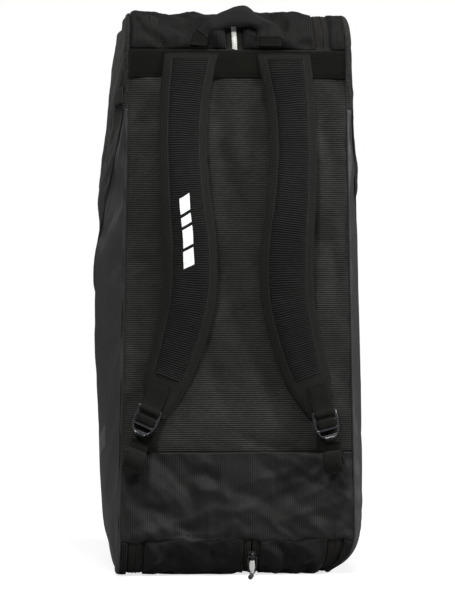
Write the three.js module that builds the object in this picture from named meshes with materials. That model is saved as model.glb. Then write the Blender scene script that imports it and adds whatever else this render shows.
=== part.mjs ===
// A three-compartment racket tour bag standing on its flat bottom end.
// Millimetres, +Z up. The harness face looks along -Y and the zipped front face along +Y.
// The origin is on the floor under the middle of the bag.
import * as THREE from 'three';
import { mergeVertices } from 'three/addons/utils/BufferGeometryUtils.js';

// ---- driving dimensions: the bag's body ----
const HEIGHT = 770;
const BACK_Y = -150;           // harness face
const FRONT_Y = 160;           // front face
const HALF_WIDTH_FLOOR = 164;  // half the width of the flat faces at the floor
const HALF_WIDTH_TOP = 149.5;  // and at the top
const SIDE_BULGE = 31;         // how far each side swells out at mid-depth
const BOTTOM_RADIUS = 50;      // rounding between the bottom end and the two faces
const TOP_RADIUS = 55;
const PANEL = 5;               // padded panel thickness
const SEAM = 0.6;              // clearance left along every seam
const SEAM_HEIGHT = 169.5;     // seam across the harness face, above the lower panel
const BAND = { low: 676, high: 713.5, thickness: 2 }; // webbing band under the strap tops
const DIVIDER_X = 55;          // the two inner walls
const DIVIDER_THICKNESS = 2;
const PIPED_SEAM = { start: 635, drop: 320 }; // slanting seam between the two side fabrics

// ---- driving dimensions: zips ----
const ZIPS = {                 // x of each zip at the floor and at the top
  left: [-138, -118],
  centre: [21.5, -5],
  right: [136, 116],
};
const TAPE_WIDTH = 10.5;       // one tape, beside the teeth
const TEETH_GAP = 1;           // half the slot between two tapes
const TAPE_DEPTH = 1.5;        // zips lie this far below the panels
const TAPE_THICKNESS = 2.5;

// ---- driving dimensions: harness ----
// height, distance of the strap's middle from the bag's centreline, strap width
const STRAP_STATIONS = [
  [711.5, 62, 74], [646, 71.7, 66], [579, 74.3, 64], [511, 71, 67], [443, 65.2, 72],
  [376, 67.3, 72], [308, 83, 67], [260, 99, 58], [220, 111, 29],
];
const STRAP_PAD = 9;           // pad thickness along its middle
const STRAP_REST = 3.2;        // the pad's back, from the harness face
const STRAP_BOW = 18;          // how far the strap arches off the bag
const STRAP_LENGTH = 477;      // height over which it arches
const BINDING = 12;            // bound edge beside the ribbed cover
const WEBBING = { width: 25, thickness: 1.8 };
const BUCKLE = { halfWidth: 17, top: 3.2, length: 39, thickness: 4.5, backOff: 14.6, rim: 3.6 };
const ROLL = { radius: 17, bore: 4, centreOff: 22, tailOff: 12.6, tailTop: 26 };
const ANCHOR = { x: 120, z: 171, off: 0.6 };
// the two adjusters hang at slightly different angles
const ADJUSTERS = {
  left: { side: -1, barX: 119, barZ: 228, lean: 24.6, rollX: 141, rollZ: 162, tilt: 22, yaw: 0 },
  right: { side: 1, barX: 116, barZ: 223, lean: 14.3, rollX: 129, rollZ: 158, tilt: -9, yaw: 18 },
};

// ---- driving dimensions: handles ----
const GRAB = { foot: 720.5, backOff: 3, thickness: 7, lean: 9 };
const CARRY = { x: 86, width: 30, thickness: 4, foot: 8, low: 300, high: 480, proud: 28 };

const { lerp, clamp, degToRad, smoothstep } = THREE.MathUtils;
const group = new THREE.Group();

// ---- finishes ----
function finish(color, roughness, metalness = 0) {
  return () => new THREE.MeshStandardMaterial({ color, roughness, metalness });
}
const ribbedFabric = finish(0x2b2b28, 0.85);
const lowerFabric = finish(0x2a2a2a, 0.8);
const coatedFabric = finish(0x474749, 0.5);
const lining = finish(0x3c3c3c, 0.9);
const webbing = finish(0x26261c, 0.9);
const zipTape = finish(0x1c1c1a, 0.8);
const plastic = finish(0x2c2e31, 0.35);
const blackMetal = finish(0x151515, 0.3, 0.9);
const rubber = finish(0x161616, 0.7);

function add(name, geometry, material) {
  const mesh = new THREE.Mesh(geometry, material());
  mesh.name = name;
  group.add(mesh);
  return mesh;
}

// ---- geometry helpers ----
// Turns a closed body's faces outwards, in case its mapping mirrored it.
function facingOut(geometry) {
  const p = geometry.getAttribute('position');
  const index = geometry.getIndex();
  const [a, b, c] = [new THREE.Vector3(), new THREE.Vector3(), new THREE.Vector3()];
  let volume = 0;
  for (let i = 0; i < index.count; i += 3) {
    a.fromBufferAttribute(p, index.getX(i));
    b.fromBufferAttribute(p, index.getX(i + 1));
    c.fromBufferAttribute(p, index.getX(i + 2));
    volume += a.dot(b.cross(c));
  }
  if (volume < 0) {
    for (let i = 0; i < index.count; i += 3) {
      const second = index.getX(i + 1);
      index.setX(i + 1, index.getX(i + 2));
      index.setX(i + 2, second);
    }
  }
  geometry.computeVertexNormals();
  return geometry;
}

// Bends a segmented box: place(u, v, w) gives the point for across, along and thickness, each 0 to 1.
function bentBox(acrossSteps, alongSteps, place) {
  const box = new THREE.BoxGeometry(1, 1, 1, acrossSteps, alongSteps, 1);
  box.deleteAttribute('normal');
  box.deleteAttribute('uv');
  const geometry = mergeVertices(box);
  const p = geometry.getAttribute('position');
  for (let i = 0; i < p.count; i += 1) {
    const point = place(p.getX(i) + 0.5, p.getY(i) + 0.5, p.getZ(i) + 0.5);
    p.setXYZ(i, point.x, point.y, point.z);
  }
  return facingOut(geometry);
}

// An outline drawn in (x, z), extruded along +Y from y0.
function uprightPlate(shape, y0, thickness, curveSegments = 6) {
  const settings = { depth: thickness, bevelEnabled: false, curveSegments };
  const plate = new THREE.ExtrudeGeometry(shape, settings);
  plate.rotateX(Math.PI / 2);
  return plate.translate(0, y0 + thickness, 0);
}

function outline(points) {
  return new THREE.Shape(points.map(([x, y]) => new THREE.Vector2(x, y)));
}

// A rectangle with round corners, centred across and hanging from y = top.
function roundedTab(halfWidth, top, length, radius, ShapeClass = THREE.Shape) {
  const shape = new ShapeClass();
  const bottom = top - length;
  shape.moveTo(-halfWidth + radius, bottom);
  shape.lineTo(halfWidth - radius, bottom);
  shape.absarc(halfWidth - radius, bottom + radius, radius, -Math.PI / 2, 0);
  shape.absarc(halfWidth - radius, top - radius, radius, 0, Math.PI / 2);
  shape.absarc(-halfWidth + radius, top - radius, radius, Math.PI / 2, Math.PI);
  shape.absarc(-halfWidth + radius, bottom + radius, radius, Math.PI, Math.PI * 1.5);
  return shape;
}

// ---- the bag's form ----
function halfWidth(z) {
  return lerp(HALF_WIDTH_FLOOR, HALF_WIDTH_TOP, z / HEIGHT);
}

function sideX(y, z) {
  const depthShare = (y - BACK_Y) / (FRONT_Y - BACK_Y);
  const heightSwell = Math.sin(Math.PI * clamp(z / HEIGHT, 0, 1)) ** 0.75;
  return halfWidth(z) + SIDE_BULGE * heightSwell * Math.sin(Math.PI * depthShare);
}

// How far the rounded ends draw the side panel in from the two faces.
function endInset(z) {
  const lowDrop = BOTTOM_RADIUS - Math.min(z, BOTTOM_RADIUS);
  const highDrop = TOP_RADIUS - Math.min(HEIGHT - z, TOP_RADIUS);
  const low = BOTTOM_RADIUS - Math.sqrt(BOTTOM_RADIUS ** 2 - lowDrop ** 2);
  const high = TOP_RADIUS - Math.sqrt(TOP_RADIUS ** 2 - highDrop ** 2);
  return low + high;
}

function zipX(name, z) {
  return lerp(ZIPS[name][0], ZIPS[name][1], z / HEIGHT);
}

// The end panels, zips and lid strips follow one rounded loop round the bag's depth.
function arcStops(centreY, centreZ, radius, fromDegrees, steps = 6) {
  const stops = [];
  for (let i = 0; i <= steps; i += 1) {
    const angle = degToRad(fromDegrees + (90 * i) / steps);
    const [ny, nz] = [Math.cos(angle), Math.sin(angle)];
    stops.push({ y: centreY + radius * ny, z: centreZ + radius * nz, ny, nz });
  }
  return stops;
}
const TOP_Z = HEIGHT - TOP_RADIUS;
const bottomLoop = [
  ...arcStops(BACK_Y + BOTTOM_RADIUS, BOTTOM_RADIUS, BOTTOM_RADIUS, 180),
  ...arcStops(FRONT_Y - BOTTOM_RADIUS, BOTTOM_RADIUS, BOTTOM_RADIUS, 270),
];
const frontLoop = [
  { y: FRONT_Y, z: BOTTOM_RADIUS + SEAM, ny: 1, nz: 0 },
  { y: FRONT_Y, z: TOP_Z - SEAM, ny: 1, nz: 0 },
];
const topLoop = [
  ...arcStops(FRONT_Y - TOP_RADIUS, TOP_Z, TOP_RADIUS, 0),
  ...arcStops(BACK_Y + TOP_RADIUS, TOP_Z, TOP_RADIUS, 90),
];
const wholeLoop = [...bottomLoop, ...topLoop];

// A strip along part of the loop, between two x lines, from one depth to another.
function strip(stops, lowX, highX, outerDepth = 0, thickness = PANEL) {
  const last = stops.length - 1;
  return bentBox(1, last, (u, v, w) => {
    const stop = stops[Math.round(v * last)];
    const depth = outerDepth + thickness * (1 - w);
    const x = lerp(lowX(stop.z), highX(stop.z), u);
    return new THREE.Vector3(x, stop.y - stop.ny * depth, stop.z - stop.nz * depth);
  });
}

const tapeEdge = TEETH_GAP + TAPE_WIDTH;
const panelEdge = tapeEdge + SEAM;
const beside = (zip, offset) => (z) => zipX(zip, z) + offset;
const insideSide = (side) => (z) => side * (halfWidth(z) - PANEL - SEAM);
const tape = (stops, zip, low, high) =>
  strip(stops, beside(zip, low), beside(zip, high), TAPE_DEPTH, TAPE_THICKNESS);

// ---- harness face ----
function backPanel(low, high) {
  const [lowX, highX] = [low, high].map((z) => halfWidth(z) - PANEL - SEAM);
  return uprightPlate(outline([[-lowX, low], [lowX, low], [highX, high], [-highX, high]]), BACK_Y, PANEL);
}
add('back_panel_upper', backPanel(SEAM_HEIGHT + SEAM, TOP_Z - SEAM), ribbedFabric);
add('back_panel_lower', backPanel(BOTTOM_RADIUS + SEAM, SEAM_HEIGHT), lowerFabric);

const bandX = halfWidth(BAND.high) - 3;
const bandOutline = outline([
  [-bandX, BAND.low], [bandX, BAND.low], [bandX, BAND.high], [-bandX, BAND.high],
]);
const bandY = BACK_Y - 0.4 - BAND.thickness;
add('top_webbing_band', uprightPlate(bandOutline, bandY, BAND.thickness), webbing);

// ---- end panels, front gussets and inner walls ----
const ends = { bottom: bottomLoop, top: topLoop };
for (const [end, stops] of Object.entries(ends)) {
  const leftPanel = strip(stops, beside('left', panelEdge), beside('centre', -panelEdge));
  const rightPanel = strip(stops, beside('centre', panelEdge), beside('right', -panelEdge));
  add(`${end}_end_left`, leftPanel, lowerFabric);
  add(`${end}_end_right`, rightPanel, lowerFabric);
  add(`centre_zip_${end}`, tape(stops, 'centre', -tapeEdge, tapeEdge), zipTape);
}

function dividerWall(x) {
  const inset = PANEL + SEAM;
  const shape = new THREE.Shape();
  const [backY, frontY] = [BACK_Y + inset, FRONT_Y - inset];
  const [low, high] = [inset, HEIGHT - inset];
  const [lowR, highR] = [BOTTOM_RADIUS - inset, TOP_RADIUS - inset];
  shape.absarc(frontY - lowR, low + lowR, lowR, -Math.PI / 2, 0);
  shape.absarc(frontY - highR, high - highR, highR, 0, Math.PI / 2);
  shape.absarc(backY + highR, high - highR, highR, Math.PI / 2, Math.PI);
  shape.absarc(backY + lowR, low + lowR, lowR, Math.PI, Math.PI * 1.5);
  const settings = { depth: DIVIDER_THICKNESS, bevelEnabled: false, curveSegments: 6 };
  const wall = new THREE.ExtrudeGeometry(shape, settings);
  // the outline's (x, y) becomes the bag's (y, z)
  wall.applyMatrix4(new THREE.Matrix4().set(0, 0, 1, 0, 1, 0, 0, 0, 0, 1, 0, 0, 0, 0, 0, 1));
  return wall.translate(x - DIVIDER_THICKNESS / 2, 0, 0);
}

for (const [name, side] of [['left', -1], ['right', 1]]) {
  const gussetInner = () => side * (DIVIDER_X + SEAM / 2);
  const gusset = strip(frontLoop, beside(name, -side * panelEdge), gussetInner);
  add(`front_gusset_${name}`, gusset, ribbedFabric);
  add(`divider_${name}`, dividerWall(side * DIVIDER_X), lining);
  add(`zip_tape_inner_${name}`, tape(wholeLoop, name, -side * TEETH_GAP, -side * tapeEdge), zipTape);
}

// ---- side lids: each side panel with the strips outside its zip ----
const ARC_ROWS = 5;
const SIDE_COLUMNS = 10;

function pipedSeam(share) {
  return PIPED_SEAM.start - PIPED_SEAM.drop * Math.sin((Math.PI / 2) * share);
}

// Rows crowd towards the rounded end, so that its outline stays round.
function sidePanel(side, upper) {
  const rows = upper ? 12 : 14;
  const radius = upper ? TOP_RADIUS : BOTTOM_RADIUS;
  return bentBox(SIDE_COLUMNS, rows, (u, v, w) => {
    const row = Math.round(v * rows);
    const seam = pipedSeam(u) + (upper ? SEAM : -SEAM) / 2;
    const end = upper ? HEIGHT : 0;
    const inward = upper ? -1 : 1;
    const arc = radius * (1 - Math.cos((Math.PI / 2) * (row / ARC_ROWS)));
    const beyond = clamp((row - ARC_ROWS) / (rows - ARC_ROWS), 0, 1);
    const z = row < ARC_ROWS ? end + inward * arc : lerp(end + inward * radius, seam, beyond);
    const inset = endInset(z);
    const y = lerp(BACK_Y + inset, FRONT_Y - inset, u);
    return new THREE.Vector3(side * (sideX(y, z) - PANEL * (1 - w)), y, z);
  });
}

for (const [name, side] of [['left', -1], ['right', 1]]) {
  add(`side_panel_${name}`, sidePanel(side, false), coatedFabric);
  add(`side_panel_upper_${name}`, sidePanel(side, true), ribbedFabric);
  const loops = { front: frontLoop, bottom: bottomLoop, top: topLoop };
  for (const [place, stops] of Object.entries(loops)) {
    const lidStrip = strip(stops, beside(name, side * panelEdge), insideSide(side));
    add(`lid_strip_${place}_${name}`, lidStrip, ribbedFabric);
  }
  add(`zip_tape_outer_${name}`, tape(wholeLoop, name, side * TEETH_GAP, side * tapeEdge), zipTape);
}

// A short webbing loop sewn into the left side, just above the piped seam.
const SIDE_LOOP = { low: 641, high: 664, from: -146, to: -80, lift: 0.5, thickness: 2 };
add('side_loop', bentBox(6, 1, (u, v, w) => {
  const y = lerp(SIDE_LOOP.from, SIDE_LOOP.to, u);
  const z = lerp(SIDE_LOOP.low, SIDE_LOOP.high, v);
  return new THREE.Vector3(-sideX(y, z) - SIDE_LOOP.lift - SIDE_LOOP.thickness * w, y, z);
}), webbing);

// ---- centre compartment: two flaps that part along the centre zip ----
for (const [name, side] of [['left', -1], ['right', 1]]) {
  const hingeEdge = () => side * (DIVIDER_X - SEAM / 2);
  add(`centre_flap_${name}`, strip(frontLoop, hingeEdge, beside('centre', side * panelEdge)), ribbedFabric);
  add(`centre_zip_${name}`, tape(frontLoop, 'centre', side * TEETH_GAP, side * tapeEdge), zipTape);
}

// ---- zip sliders and pulls ----
const SLIDER = { length: 16, width: 9, slab: 3, height: 7.8, base: 0.7, eyeLow: 3.4, eyeHigh: 6.4 };
const PULL_RING = { halfWidth: 6.6, window: 4.9, thickness: 1.6, bar: 2 };

// Side view of a slider: a slab with a bridge over it, and the eye that the pull hangs in.
function sliderBody() {
  const half = SLIDER.length / 2;
  const shape = outline([
    [-half, 0], [half, 0], [half, SLIDER.slab], [5.5, SLIDER.slab], [5.5, SLIDER.height - 1.5],
    [4, SLIDER.height], [-4, SLIDER.height], [-5.5, SLIDER.height - 1.5], [-5.5, SLIDER.slab],
    [-half, SLIDER.slab],
  ]);
  const eye = [[-4, SLIDER.eyeLow], [4, SLIDER.eyeLow], [4, SLIDER.eyeHigh], [-4, SLIDER.eyeHigh]];
  shape.holes.push(new THREE.Path(eye.map(([x, y]) => new THREE.Vector2(x, y))));
  const body = new THREE.ExtrudeGeometry(shape, { depth: SLIDER.width, bevelEnabled: false });
  return body.translate(0, 0, -SLIDER.width / 2);
}

// A pull: a ring round its top bar, and a tab below it when the pull is longer than its window.
function pull(length, windowLength) {
  const shape = roundedTab(PULL_RING.halfWidth, PULL_RING.bar / 2, length, 4);
  const hole = roundedTab(PULL_RING.window, -PULL_RING.bar / 2, windowLength, 1, THREE.Path);
  shape.holes.push(hole);
  return uprightPlate(shape, -PULL_RING.thickness / 2, PULL_RING.thickness, 3);
}

// Places a slider built lengthwise along x and height along y, by its lengthwise and outward directions.
function seat(mesh, origin, along, outward) {
  const across = new THREE.Vector3().crossVectors(along, outward);
  mesh.matrix.makeBasis(along, outward, across).setPosition(origin);
  mesh.matrixAutoUpdate = false;
  return mesh;
}

const eyeMiddle = (SLIDER.eyeLow + SLIDER.eyeHigh) / 2;
const SIDE_SLIDER_Z = 100;
const SIDE_PULL = { length: 32, window: 12 };
for (const name of ['left', 'right']) {
  const slope = (ZIPS[name][1] - ZIPS[name][0]) / HEIGHT;
  const along = new THREE.Vector3(slope, 0, 1).normalize();
  const outward = new THREE.Vector3(0, 1, 0);
  const origin = new THREE.Vector3(zipX(name, SIDE_SLIDER_Z), FRONT_Y - SLIDER.base, SIDE_SLIDER_Z);
  seat(add(`${name}_slider`, sliderBody(), blackMetal), origin, along, outward);
  const tab = add(`${name}_pull`, pull(SIDE_PULL.length, SIDE_PULL.window), blackMetal);
  tab.position.set(origin.x, origin.y + eyeMiddle, origin.z + 2);
}

// The centre slider sits on the lower rounding of the harness face.
const CENTRE_SLIDER_ANGLE = degToRad(24.8); // below level, about the rounding's axis
const CENTRE_PULL = { length: 24, window: 18 };
const cos = Math.cos(CENTRE_SLIDER_ANGLE);
const sin = Math.sin(CENTRE_SLIDER_ANGLE);
const seatRadius = BOTTOM_RADIUS - SLIDER.base;
const onArc = (radius) => new THREE.Vector3(
  zipX('centre', BOTTOM_RADIUS * (1 - sin)),
  BACK_Y + BOTTOM_RADIUS - radius * cos,
  BOTTOM_RADIUS - radius * sin,
);
seat(
  add('centre_slider', sliderBody(), blackMetal),
  onArc(seatRadius),
  new THREE.Vector3(0, -sin, cos),
  new THREE.Vector3(0, -cos, -sin),
);
const ringEye = onArc(seatRadius + eyeMiddle);
const ring = add('centre_pull_ring', pull(CENTRE_PULL.length, CENTRE_PULL.window), blackMetal);
ring.position.copy(ringEye);

// Its cord grip lies on the floor in front of the ring.
const GRIP = { length: 26, radius: 3.2, gap: 0.9, turn: 12 };
const gripProfile = [
  [0, 0], [1.2, 0], [1.6, 3], [2.9, 5], [GRIP.radius, 8], [GRIP.radius, GRIP.length - 3],
  [2, GRIP.length], [0, GRIP.length],
].map(([r, y]) => new THREE.Vector2(r, y));
const grip = add('centre_pull_grip', new THREE.LatheGeometry(gripProfile, 10), rubber);
grip.rotation.set(0, 0, Math.PI - degToRad(GRIP.turn));
grip.position.set(ringEye.x, ringEye.y - PULL_RING.thickness / 2 - GRIP.gap, GRIP.radius + 0.3);

// ---- grab handle: a padded band that arches between its two feet ----
const grabOutline = outline([
  [-65, 0], [-64, 9], [-50, 23], [-28, 42], [0, 54], [14.5, 54], [30, 40], [55, 28], [62, 11],
  [60, 0], [27, 0], [27, 18.5], [18, 24.5], [-10, 24.5], [-20, 22], [-38, 14], [-41, 0],
]);
const grab = add('grab_handle', uprightPlate(grabOutline, -GRAB.thickness, GRAB.thickness), webbing);
grab.rotation.x = -degToRad(GRAB.lean);
grab.position.set(0, BACK_Y - GRAB.backOff, GRAB.foot);

// ---- carry handles on the front gussets ----
for (const [name, side] of [['left', -1], ['right', 1]]) {
  add(`carry_webbing_${name}`, bentBox(1, 1, (u, v, w) => new THREE.Vector3(
    side * CARRY.x + (u - 0.5) * CARRY.width,
    FRONT_Y + 0.5 + w * WEBBING.thickness,
    lerp(CARRY.low - 50, CARRY.high + 50, v),
  )), webbing);
  add(`carry_handle_${name}`, bentBox(1, 12, (u, v, w) => new THREE.Vector3(
    side * CARRY.x + (u - 0.5) * CARRY.width,
    FRONT_Y + lerp(CARRY.foot, CARRY.proud, Math.sin(Math.PI * v) ** 0.6) + w * CARRY.thickness,
    lerp(CARRY.low, CARRY.high, v),
  )), webbing);
}

// ---- shoulder straps ----
const strapLine = new THREE.CatmullRomCurve3(
  STRAP_STATIONS.map(([z, x, width]) => new THREE.Vector3(x, width, z)),
);
const strapWidth = (v) => strapLine.getPoint(v).y;

function strapBow(z) {
  const share = clamp((STRAP_STATIONS[0][0] - z) / STRAP_LENGTH, 0, 1);
  return STRAP_BOW * Math.sin(Math.PI * share) ** 2;
}

// A point on a strap: v runs down it, across is measured outwards from its middle, off from its back.
function strapPoint(side, v, across, off) {
  const station = strapLine.getPoint(v);
  const tangent = strapLine.getTangent(v);
  const length = Math.hypot(tangent.x, tangent.z);
  const x = station.x - (across * tangent.z) / length;
  // the top edge is cut level, along the seam that holds it
  const z = station.z + ((across * tangent.x) / length) * smoothstep(v, 0, 0.14);
  return new THREE.Vector3(side * x, BACK_Y - STRAP_REST - strapBow(station.z) - off, z);
}

// The pad is thickest along its middle, and thin where it is sewn into the top seam.
function padFront(v, across) {
  const crown = 1 - 0.4 * ((2 * across) / strapWidth(v)) ** 2;
  return STRAP_PAD * crown * lerp(0.45, 1, smoothstep(v, 0, 0.06));
}

const COVER = { from: 0.02, to: 0.84, lift: 1.0, thickness: 1.2 };
const TAB = { width: 28, length: 33, off: 13.2 };
for (const [name, adjuster] of Object.entries(ADJUSTERS)) {
  const side = adjuster.side;
  add(`strap_pad_${name}`, bentBox(4, 26, (u, v, w) => {
    const across = (u - 0.5) * strapWidth(v);
    return strapPoint(side, v, across, w * padFront(v, across));
  }), webbing);
  add(`strap_cover_${name}`, bentBox(4, 22, (u, v, w) => {
    const along = lerp(COVER.from, COVER.to, v);
    const across = (u - 0.5) * (strapWidth(along) - 2 * BINDING);
    const off = padFront(along, across) + COVER.lift + w * COVER.thickness;
    return strapPoint(side, along, across, off);
  }), ribbedFabric);

  // everything below hangs from the buckle's top bar, turned by its lean
  const lean = side * degToRad(adjuster.lean);
  const down = new THREE.Vector3(Math.sin(lean), 0, -Math.cos(lean));
  const bar = new THREE.Vector3(side * adjuster.barX, 0, adjuster.barZ);
  const tab = add(
    `webbing_tab_${name}`,
    new THREE.BoxGeometry(TAB.width, WEBBING.thickness, TAB.length),
    webbing,
  );
  const tabMiddle = bar.clone().addScaledVector(down, -(BUCKLE.top + 1.2 + TAB.length / 2));
  tab.position.set(tabMiddle.x, BACK_Y - TAB.off - WEBBING.thickness / 2, tabMiddle.z);
  tab.rotation.y = -lean;

  const buckle = add(`ladder_lock_${name}`, ladderLock(), plastic);
  buckle.position.set(bar.x, BACK_Y - BUCKLE.backOff - BUCKLE.thickness, bar.z);
  buckle.rotation.y = -lean;

  const slot = bar.clone().addScaledVector(down, 18);
  const anchor = new THREE.Vector3(side * ANCHOR.x, 0, ANCHOR.z);
  add(`lower_webbing_${name}`, bentBox(1, 5, (u, v, w) => {
    const rise = smoothstep(v, 0, 1);
    const off = lerp(ANCHOR.off, BUCKLE.backOff - 2 - WEBBING.thickness, rise);
    return new THREE.Vector3(
      lerp(anchor.x, slot.x, v) + (u - 0.5) * WEBBING.width,
      BACK_Y - off - w * WEBBING.thickness,
      lerp(anchor.z, slot.z, v),
    );
  }), webbing);

  const roll = add(`webbing_roll_${name}`, webbingRoll(), webbing);
  roll.rotation.set(0, degToRad(adjuster.tilt), -degToRad(adjuster.yaw), 'ZYX');
  roll.position.set(side * adjuster.rollX, BACK_Y - ROLL.centreOff, adjuster.rollZ);
}

// A ladder-lock buckle: three bars and a rounded lift tab, hanging from its top bar's middle.
function ladderLock() {
  const { halfWidth: half, top, length, rim } = BUCKLE;
  const low = top - length;
  const shape = outline([
    [-half, top - 2], [-half, low + 14], [-half + 5, low + 4], [-half + 11, low],
    [half - 11, low], [half - 5, low + 4], [half, low + 14], [half, top - 2], [half - 2, top],
    [-half + 2, top],
  ]);
  const slotEdges = [[-1.6, -9.4], [-13, -20.4], [-24, low + rim + 0.4]];
  const inner = half - rim;
  slotEdges.forEach(([upper, lower], i) => {
    const taper = i === 2 ? 5 : 0;
    const corners = [[-inner, upper], [inner, upper], [inner - taper, lower], [-inner + taper, lower]];
    shape.holes.push(new THREE.Path(corners.map(([x, y]) => new THREE.Vector2(x, y))));
  });
  return uprightPlate(shape, 0, BUCKLE.thickness);
}

// The spare webbing, rolled up: a bored roll with its last turn running up to the buckle.
function webbingRoll() {
  const { radius, bore, centreOff, tailOff, tailTop } = ROLL;
  const tailFront = centreOff - tailOff - WEBBING.thickness;
  const tailBack = centreOff - tailOff;
  const fromAngle = Math.acos(tailFront / radius);
  const toAngle = Math.acos(tailBack / radius) + Math.PI * 2;
  const shape = new THREE.Shape();
  shape.absarc(0, 0, radius, fromAngle, toAngle);
  shape.lineTo(tailBack, tailTop);
  shape.lineTo(tailFront, tailTop);
  const hole = new THREE.Path();
  hole.absarc(0, 0, bore, 0, Math.PI * 2);
  shape.holes.push(hole);
  const settings = { depth: WEBBING.width, bevelEnabled: false, curveSegments: 20 };
  const roll = new THREE.ExtrudeGeometry(shape, settings);
  roll.translate(0, 0, -WEBBING.width / 2);
  // the outline's (x, y) becomes (y, z) and its depth becomes x
  return roll.applyMatrix4(new THREE.Matrix4().set(0, 0, 1, 0, 1, 0, 0, 0, 0, 1, 0, 0, 0, 0, 0, 1));
}

export default group;
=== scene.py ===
"""A three-compartment racket tour bag standing on end: its looks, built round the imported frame.

Metres, +Z up, harness face towards -Y. The body is one soft shell in sewn sheets, swelled by one
cloth simulation; the harness, zips and handles are modelled round it.
"""
import math

import bpy
import numpy as np
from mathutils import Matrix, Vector, noise


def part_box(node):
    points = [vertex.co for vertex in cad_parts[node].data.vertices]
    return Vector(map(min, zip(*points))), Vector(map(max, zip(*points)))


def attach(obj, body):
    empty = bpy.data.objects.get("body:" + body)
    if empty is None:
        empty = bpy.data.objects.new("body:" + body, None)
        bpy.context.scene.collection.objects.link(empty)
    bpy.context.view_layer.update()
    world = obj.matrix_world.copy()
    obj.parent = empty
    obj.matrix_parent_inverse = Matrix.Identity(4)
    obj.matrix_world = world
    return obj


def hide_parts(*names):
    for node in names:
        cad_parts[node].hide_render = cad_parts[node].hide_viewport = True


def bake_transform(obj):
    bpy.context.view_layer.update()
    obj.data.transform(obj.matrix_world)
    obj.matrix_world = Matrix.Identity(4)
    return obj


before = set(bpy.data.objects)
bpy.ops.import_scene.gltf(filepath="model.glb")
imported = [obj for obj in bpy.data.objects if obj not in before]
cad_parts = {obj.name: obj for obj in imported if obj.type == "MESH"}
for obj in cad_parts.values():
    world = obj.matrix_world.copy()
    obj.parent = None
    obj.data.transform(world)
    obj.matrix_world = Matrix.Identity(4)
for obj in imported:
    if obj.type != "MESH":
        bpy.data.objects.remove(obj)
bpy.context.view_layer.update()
scene = bpy.context.scene
MM = 0.001
SIDES = (("left", -1), ("right", 1))
OUT = Vector((0, -1, 0))  # away from the harness face
ACROSS = Vector((1, 0, 0))
UP = Vector((0, 0, 1))

# ---------------------------------------------------------------- sizes, most of them from the frame
BACK_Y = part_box("back_panel_upper")[0][1]
FRONT_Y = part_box("front_gusset_left")[1][1]
DEPTH = FRONT_Y - BACK_Y
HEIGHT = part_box("top_end_left")[1][2]
TOP_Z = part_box("top_end_left")[0][2]
TOP_RADIUS = HEIGHT - TOP_Z
BOTTOM_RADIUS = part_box("bottom_end_left")[1][2]
SEAM_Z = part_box("back_panel_lower")[1][2]
BAND_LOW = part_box("top_webbing_band")[0][2]
BAND_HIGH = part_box("top_webbing_band")[1][2]
DIVIDER_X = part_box("divider_right")[0][0] + 1 * MM
HALF_FLOOR = 164 * MM
HALF_TOP = 149.5 * MM
SIDE_BULGE = {-1: 31 * MM, 1: 24 * MM}
# x of each zip at the floor and at the top
ZIPS = {"left": (-138 * MM, -118 * MM), "centre": (21.5 * MM, -5 * MM), "right": (136 * MM, 116 * MM)}
PANEL_EDGE = 11.3 * MM  # from a zip's middle to the panel beside it
PIPED_START = 635 * MM  # the slanting side seam's height at the harness face, and its drop to the front
PIPED_DROP = 320 * MM


def lerp(a, b, t):
    return a + (b - a) * t


def smooth(t):
    t = min(max(t, 0.0), 1.0)
    return t * t * (3 - 2 * t)


def half_width(z):
    return lerp(HALF_FLOOR, HALF_TOP, z / HEIGHT)


def zip_x(name, z):
    return lerp(*ZIPS[name], z / HEIGHT)


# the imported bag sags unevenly: how much each side stands out (+) or in at heights from the floor, in mm
SAG = {
    -1: [(0, -5), (12, -3.5), (33, -3.6), (54, 0), (100, -0.5), (133, -1.1), (200, -4), (267, -3.5),
         (332, -0.2), (384, -1.5), (443, 1.4), (513, -0.7), (570, -0.5), (620, -3), (667, -2.4), (735, -3),
         (770, 0)],
    1: [(0, 0), (40, 3.5), (60, 7), (100, 9), (200, 6.2), (267, 3.5), (375, 1.5), (443, 1.5), (513, 2.6),
        (570, 4.5), (620, 4.3), (690, 5.5), (735, 5), (770, 3.5)],
}


def sagged_x(side, y, z):
    """How far out a side panel stands: it bulges between its four edges, and has sagged."""
    bow = math.sin(math.pi * min(max((y - BACK_Y) / (FRONT_Y - BACK_Y), 0), 1))
    swell = math.sin(math.pi * min(max(z / HEIGHT, 0), 1)) ** 0.75
    heights, shifts = zip(*SAG[side])
    sag = float(np.interp(z / MM, heights, shifts)) * MM
    return half_width(z) + SIDE_BULGE[side] * swell * bow + sag * (bow ** 0.7 if side < 0 else 1)


# the bottom corner on the right of the harness face has slumped round
SLUMP = {"from_x": 80 * MM, "radius": 58 * MM, "most": 32 * MM}


def slumped(point):
    x, y, z = point
    # the seam along the bottom of the harness face wanders up and down
    near = math.exp(-((z - BOTTOM_RADIUS) / (20 * MM)) ** 2) * (1 - smooth((y - BACK_Y) / (60 * MM)))
    z += near * MM * (1.5 * math.sin(x * 62 + 0.6) + 1.1 * math.sin(x * 141) + 0.9 * math.sin(x * 260 + 2))
    if x <= SLUMP["from_x"] or z >= SLUMP["radius"]:
        return Vector((x, y, z))
    share = min(((x - SLUMP["from_x"]) / (84 * MM)) ** 2, 1.25)
    drop = SLUMP["radius"] - max(z, 0)
    inset = min(SLUMP["radius"] - math.sqrt(max(SLUMP["radius"] ** 2 - drop ** 2, 0)), SLUMP["most"])
    near = lerp(1.0, 0.35, smooth((y - BACK_Y - 40 * MM) / (150 * MM)))
    return Vector((x - share * inset * near, y, z))


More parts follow.
